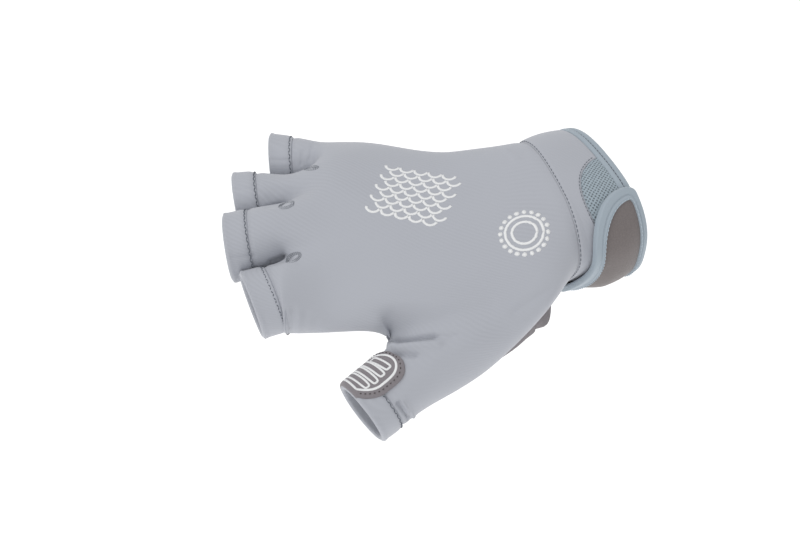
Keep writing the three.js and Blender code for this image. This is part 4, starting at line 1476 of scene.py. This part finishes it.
class GLOVE_OT_cuff(Operator):
    """Builds the cuff, its net insert and the tape round its edge"""

    bl_idname = "glove.cuff"
    bl_label = "Cuff"

    def execute(self, context):
        finish_piece(build_cuff(), "stretch_cloth", "cuff_band")
        finish_piece(build_net(), "net", "cuff_mesh")
        tape = skin_piece("wrist_binding", cloth().binding_wall, cloth().hem_proud, tape_band)
        finish_piece(tape, "binding_tape", "wrist_binding")
        return {"FINISHED"}


class GLOVE_OT_tab(Operator):
    """Wraps the closure tab and its tape over the cuff"""

    bl_idname = "glove.tab"
    bl_label = "Closure tab"

    def execute(self, context):
        finish_piece(build_tab(), "loop_cloth", "closure_tab")
        finish_piece(build_tab_tape(), "binding_tape", "tab_binding")
        return {"FINISHED"}


class GLOVE_OT_patch(Operator):
    """Lays the grip patch on the thumb"""

    bl_idname = "glove.patch"
    bl_label = "Thumb patch"

    def execute(self, context):
        finish_piece(build_patch(), "grip_cloth", "thumb_patch")
        return {"FINISHED"}


HEM_STITCH_IN = 0.45 * MM      # from the stitches to the hem's sewn side
HEM_ZIGZAG = 0.26 * MM         # how far they lean to each side
SEAM_STITCH_IN = 0.4 * MM      # from the stitches to the wrist seam
SEAM_STITCH_SUNK = 0.35 * MM
NET_STITCH_OUT = 0.9 * MM      # from the net's outline to the stitches round it
NET_STITCH_TURN = 0.985        # how much of the net's turn they cover
TAPE_STITCH_SUNK = 0.25 * MM
TAB_STITCH_IN = 0.86           # place of the tape's inner stitches, as a share of its width
HOLES_IN = 1.5 * MM            # from the patch's outline to its needle holes
CROTCH_INSETS = (0, 0.42, 0.84)   # millimetres from the mark's outline to its three rows
# Embroidered ovals at the finger crotches, in the view of the folds. across, up: centre,
# long, high: half axes, in millimetres. lean: degrees.
CROTCH_MARKS = table("name across up long high lean", (
    ("middle_ring", -115, -3.6, 2.9, 1.5, 16),
    ("index_middle", -112.2, -22.8, 3, 1.6, 28),
    ("ring_little", -106.5, 10.1, 2.8, 0.95, 4),
))


def crotch_rows():
    """Three rows of close stitches at each crotch: ovals, one in the other."""
    across, up, towards = view_axes()
    turn = np.linspace(0, 2 * np.pi, 49)
    rows = []
    for mark in CROTCH_MARKS:
        for inset in CROTCH_INSETS:
            flat = np.column_stack([(mark["long"] - inset) * np.cos(turn),
                                    (mark["high"] - inset) * np.sin(turn)])
            lean = rad(mark["lean"])
            spin = np.array([(np.cos(lean), np.sin(lean)), (-np.sin(lean), np.cos(lean))])
            flat = (flat @ spin + (mark["across"], mark["up"])) * MM
            path, normals = find_on_skin(flat, across, up, towards)
            rows.append(stitch_tubes(path, normals, 0.7 * MM, 0.24 * MM))
    return rows


def over_cuff(angle, distance, height):
    """A path over the cuff and its outward directions."""
    path = cuff_place(angle, distance, np.full(angle.shape, height))
    return path, cuff_place(angle, distance, np.full(angle.shape, height + MM)) - path


class GLOVE_OT_stitches(Operator):
    """Sews the hems, the wrist seam, the net, the tapes and the finger crotches"""

    bl_idname = "glove.stitches"
    bl_label = "Stitches"

    def execute(self, context):
        thread, pitch = cloth().thread, cloth().stitch
        rows = []
        for name in HEMS:
            path = contour(name, cloth().hem_width - HEM_STITCH_IN)
            rows.append(stitch_tubes(*path, pitch / 2, thread, HEM_ZIGZAG, 0.92))
        sew("hem_stitches", rows, "thread")
        turns = np.linspace(0, DEGREES_IN_TURN, 721)
        path = over_cuff(turns, seam_reach(turns) - SEAM_STITCH_IN, -SEAM_STITCH_SUNK)
        rows = [stitch_tubes(*path, pitch * 0.7, thread * 0.8)]
        turns = NET_MIDDLE + NET_TURN * NET_STITCH_TURN * np.linspace(-1, 1, 241)
        edge = np.maximum(net_reach(turns, -NET_STITCH_OUT), cloth().binding_width)
        rows.append(stitch_tubes(*over_cuff(turns, edge, 0), pitch * 0.6, thread * 0.7))
        path, normals = contour("wrist_binding", cloth().binding_width * TAPE_GROOVE)
        path = path - normals * TAPE_STITCH_SUNK
        rows.append(stitch_tubes(path, normals, pitch * 0.6, thread * 0.9, 0, 0.9))
        sew("cuff_stitches", rows, "thread")
        sew("crotch_stitches", crotch_rows(), "thread")
        # the needle holes round the patch, drawn in the near-black painted shade of the holes
        path = on_patch(patch_line(42, 241, HOLES_IN))
        sew("patch_holes", [stitch_tubes(*path, 1.7 * MM, 0.4 * MM, 0, 0.4)], "holes")
        line = tab_line(np.linspace(-1, 1, 401), TAB_TAPE * TAB_STITCH_IN)
        path = over_cuff(*line, tape_lift() + TAPE_WALL)
        sew("tape_stitches", [stitch_tubes(*path, pitch * 0.6, thread)], "pale_thread")
        return {"FINISHED"}


# The printed marks of the back, in millimetres.
SCALE_FIELD = (-68.5, -13.5)   # middle of the scale print, from the origin
SCALE_RADIUS = 2.7
SCALE_ROWS = 9
SCALE_COLUMNS = 5
SCALE_RISE = 1.05              # from one row to the next, as a share of the radius
SCALE_ARC = 0.94               # radius of an arc, in the same way
FIELD_LEAN = -18               # degrees
RING_PRINT = (-29.5, -35.5)    # middle of the ring print
RING_RADIUS = 8.6
RING_SHARES = (0.8, 0.52)      # radii of its two rings, as shares of the radius of the dots
RING_DOTS = 20
DOT_RADIUS = 0.85
DOT_LEAST = 0.04               # added to a dot's half widths, which are nothing at its ends
LINE_HALF = 0.5                # half width of a printed line


def on_back(flat):
    """Places and normals of the cloth under flat points, seen from straight above."""
    return find_on_skin(flat, *np.eye(3))


def scale_print():
    """A generic field of fish scales: rows of arcs, each row half a scale along."""
    row, column = (v.ravel() for v in np.mgrid[:SCALE_ROWS, :SCALE_COLUMNS])
    middle = np.column_stack([
        (column - SCALE_COLUMNS / 2 + 0.25 + (row % 2) * 0.5) * 2,
        (row - (SCALE_ROWS - 1) / 2) * SCALE_RISE,
    ]) * SCALE_RADIUS
    turn = np.linspace(0.06, 0.94, 15) * np.pi
    arc = np.column_stack([np.cos(turn), -np.sin(turn)]) * SCALE_RADIUS * SCALE_ARC
    flat = middle[:, None] + arc
    return flat, np.full(flat.shape[:2], LINE_HALF)


def ring_print():
    """A generic ring of dots round two rings."""
    turn = np.linspace(0, 2 * np.pi, 73)
    rings = np.stack([np.column_stack([np.cos(turn), np.sin(turn)]) * RING_RADIUS * share
                      for share in RING_SHARES])
    share = np.linspace(-1, 1, 9)
    at = np.arange(RING_DOTS) / RING_DOTS * 2 * np.pi
    out = np.column_stack([np.cos(at), np.sin(at)]) * RING_RADIUS
    dots = out[:, None] * (1 + share[:, None] * DOT_RADIUS / RING_RADIUS)
    halves = np.sqrt(1 - share ** 2) * DOT_RADIUS + DOT_LEAST
    return ((rings, np.full(rings.shape[:2], LINE_HALF)),
            (dots, np.broadcast_to(halves, dots.shape[:2])))


def placed(group, middle, lean):
    """A printed group turned by a lean and moved to its middle, in metres."""
    flat, halves = group
    c, s = np.cos(rad(lean)), np.sin(rad(lean))
    return (flat @ np.array([(c, s), (-s, c)]) + middle) * MM, halves * MM


PRINT_LIFT = 0.09 * MM   # half thickness of a printed stroke


class GLOVE_OT_prints(Operator):
    """Prints generic white marks on the back and the thumb patch"""

    bl_idname = "glove.prints"
    bl_label = "Prints"

    def execute(self, context):
        scales = placed(scale_print(), SCALE_FIELD, FIELD_LEAN)
        print_strokes("scale_print", [lay_strokes(*scales, on_back, PRINT_LIFT)])
        rings = [placed(group, RING_PRINT, 0) for group in ring_print()]
        print_strokes("ring_print", [lay_strokes(*group, on_back, PRINT_LIFT)
                                     for group in rings])
        print_strokes("patch_print", [lay_strokes(*group, on_patch, PRINT_LIFT)
                                      for group in patch_print()])
        return {"FINISHED"}


FLOOR_DROP = 0.16      # from the glove's lowest point to the floor
FLOOR_SIZE = 6
PAPER_GLOW = 0.35      # light that the floor gives by itself
WORLD_LIGHT = 0.68
KEY_WATTS = 3.6
FILL_WATTS = 2.5
LIGHT_AIM = (-0.06, -0.03, 0)
CAMERA_AIM = (-0.0740, -0.0342, 0)
CAMERA_AWAY = 1.5
FRAME_WIDTH = 0.2896   # metres of the view plane that the picture shows


def area_light(name, place, size, watts):
    """A round lamp that faces the glove."""
    lamp = bpy.data.lights.new(name, "AREA")
    lamp.shape = "DISK"
    lamp.size = size
    lamp.energy = watts
    obj = bpy.data.objects.new(name, lamp)
    obj.location = place
    obj.rotation_euler = (Vector(LIGHT_AIM) - Vector(place)).to_track_quat("-Z", "Y").to_euler()
    bpy.context.collection.objects.link(obj)


class GLOVE_OT_stage(Operator):
    """Sets the floor, the soft studio light and the camera"""

    bl_idname = "glove.stage"
    bl_label = "Stage"

    def execute(self, context):
        scene = context.scene
        low = CAD_BOX[0][2] - FLOOR_DROP
        half = FLOOR_SIZE / 2
        corners = np.array([(-half, -half, low), (half, -half, low), (half, half, low),
                            (-half, half, low)])
        floor = add_mesh("floor", corners, [(0, 1, 2, 3)])
        paper, _, shader = new_material("pale paper sweep", colours().floor, 0.9, 0)
        shader.inputs["Emission Color"].default_value = (1, 1, 1, 1)
        shader.inputs["Emission Strength"].default_value = PAPER_GLOW
        floor.data.materials.append(paper)
        world = bpy.data.worlds.new("studio")
        world.use_nodes = True
        world.node_tree.nodes["Background"].inputs["Color"].default_value = (1, 1, 1, 1)
        world.node_tree.nodes["Background"].inputs["Strength"].default_value = WORLD_LIGHT
        scene.world = world
        area_light("key", (-0.45, 0.35, 1.1), 0.8, KEY_WATTS)
        area_light("fill", (-0.4, -1.1, 0.7), 0.8, FILL_WATTS)
        data = bpy.data.cameras.new("camera")
        data.sensor_width = 36
        data.lens = data.sensor_width * CAMERA_AWAY / FRAME_WIDTH
        data.clip_end = 30
        camera = bpy.data.objects.new("camera", data)
        rise = rad(VIEW_RISE)
        away = Vector((0, -math.cos(rise), math.sin(rise)))
        camera.location = Vector(CAMERA_AIM) + away * CAMERA_AWAY
        camera.rotation_mode = "QUATERNION"
        camera.rotation_quaternion = (-away).to_track_quat("-Z", "Y")
        context.collection.objects.link(camera)
        scene.camera = camera
        scene.view_settings.view_transform = "Standard"
        return {"FINISHED"}


class GLOVE_PT_panel(Panel):
    """Lists the steps that build the glove, with their sizes and colours"""

    bl_idname = "GLOVE_PT_panel"
    bl_label = "Fishing Glove"
    bl_space_type = "VIEW_3D"
    bl_region_type = "UI"
    bl_category = "Glove"

    def draw(self, context):
        for step in STEPS:
            self.layout.operator(step.bl_idname)
        for name, group in GROUPS.items():
            box = self.layout.box()
            for key in group.__annotations__:
                box.prop(getattr(context.scene, name), key)


STEPS = (GLOVE_OT_stage, GLOVE_OT_panels, GLOVE_OT_hems, GLOVE_OT_cuff, GLOVE_OT_tab,
         GLOVE_OT_patch, GLOVE_OT_stitches, GLOVE_OT_prints)
GROUPS = {"glove_hand": GloveHand, "glove_cloth": GloveCloth, "glove_colours": GloveColours}


def register():
    for kind in (*GROUPS.values(), *STEPS, GLOVE_PT_panel):
        bpy.utils.register_class(kind)
    for name, group in GROUPS.items():
        setattr(bpy.types.Scene, name, PointerProperty(type=group))


def unregister():
    for name in GROUPS:
        delattr(bpy.types.Scene, name)
    for kind in reversed((*GROUPS.values(), *STEPS, GLOVE_PT_panel)):
        bpy.utils.unregister_class(kind)


def main():
    register()
    for step in STEPS:
        family, name = step.bl_idname.split(".")
        getattr(getattr(bpy.ops, family), name)()


if __name__ == "__main__":
    main()
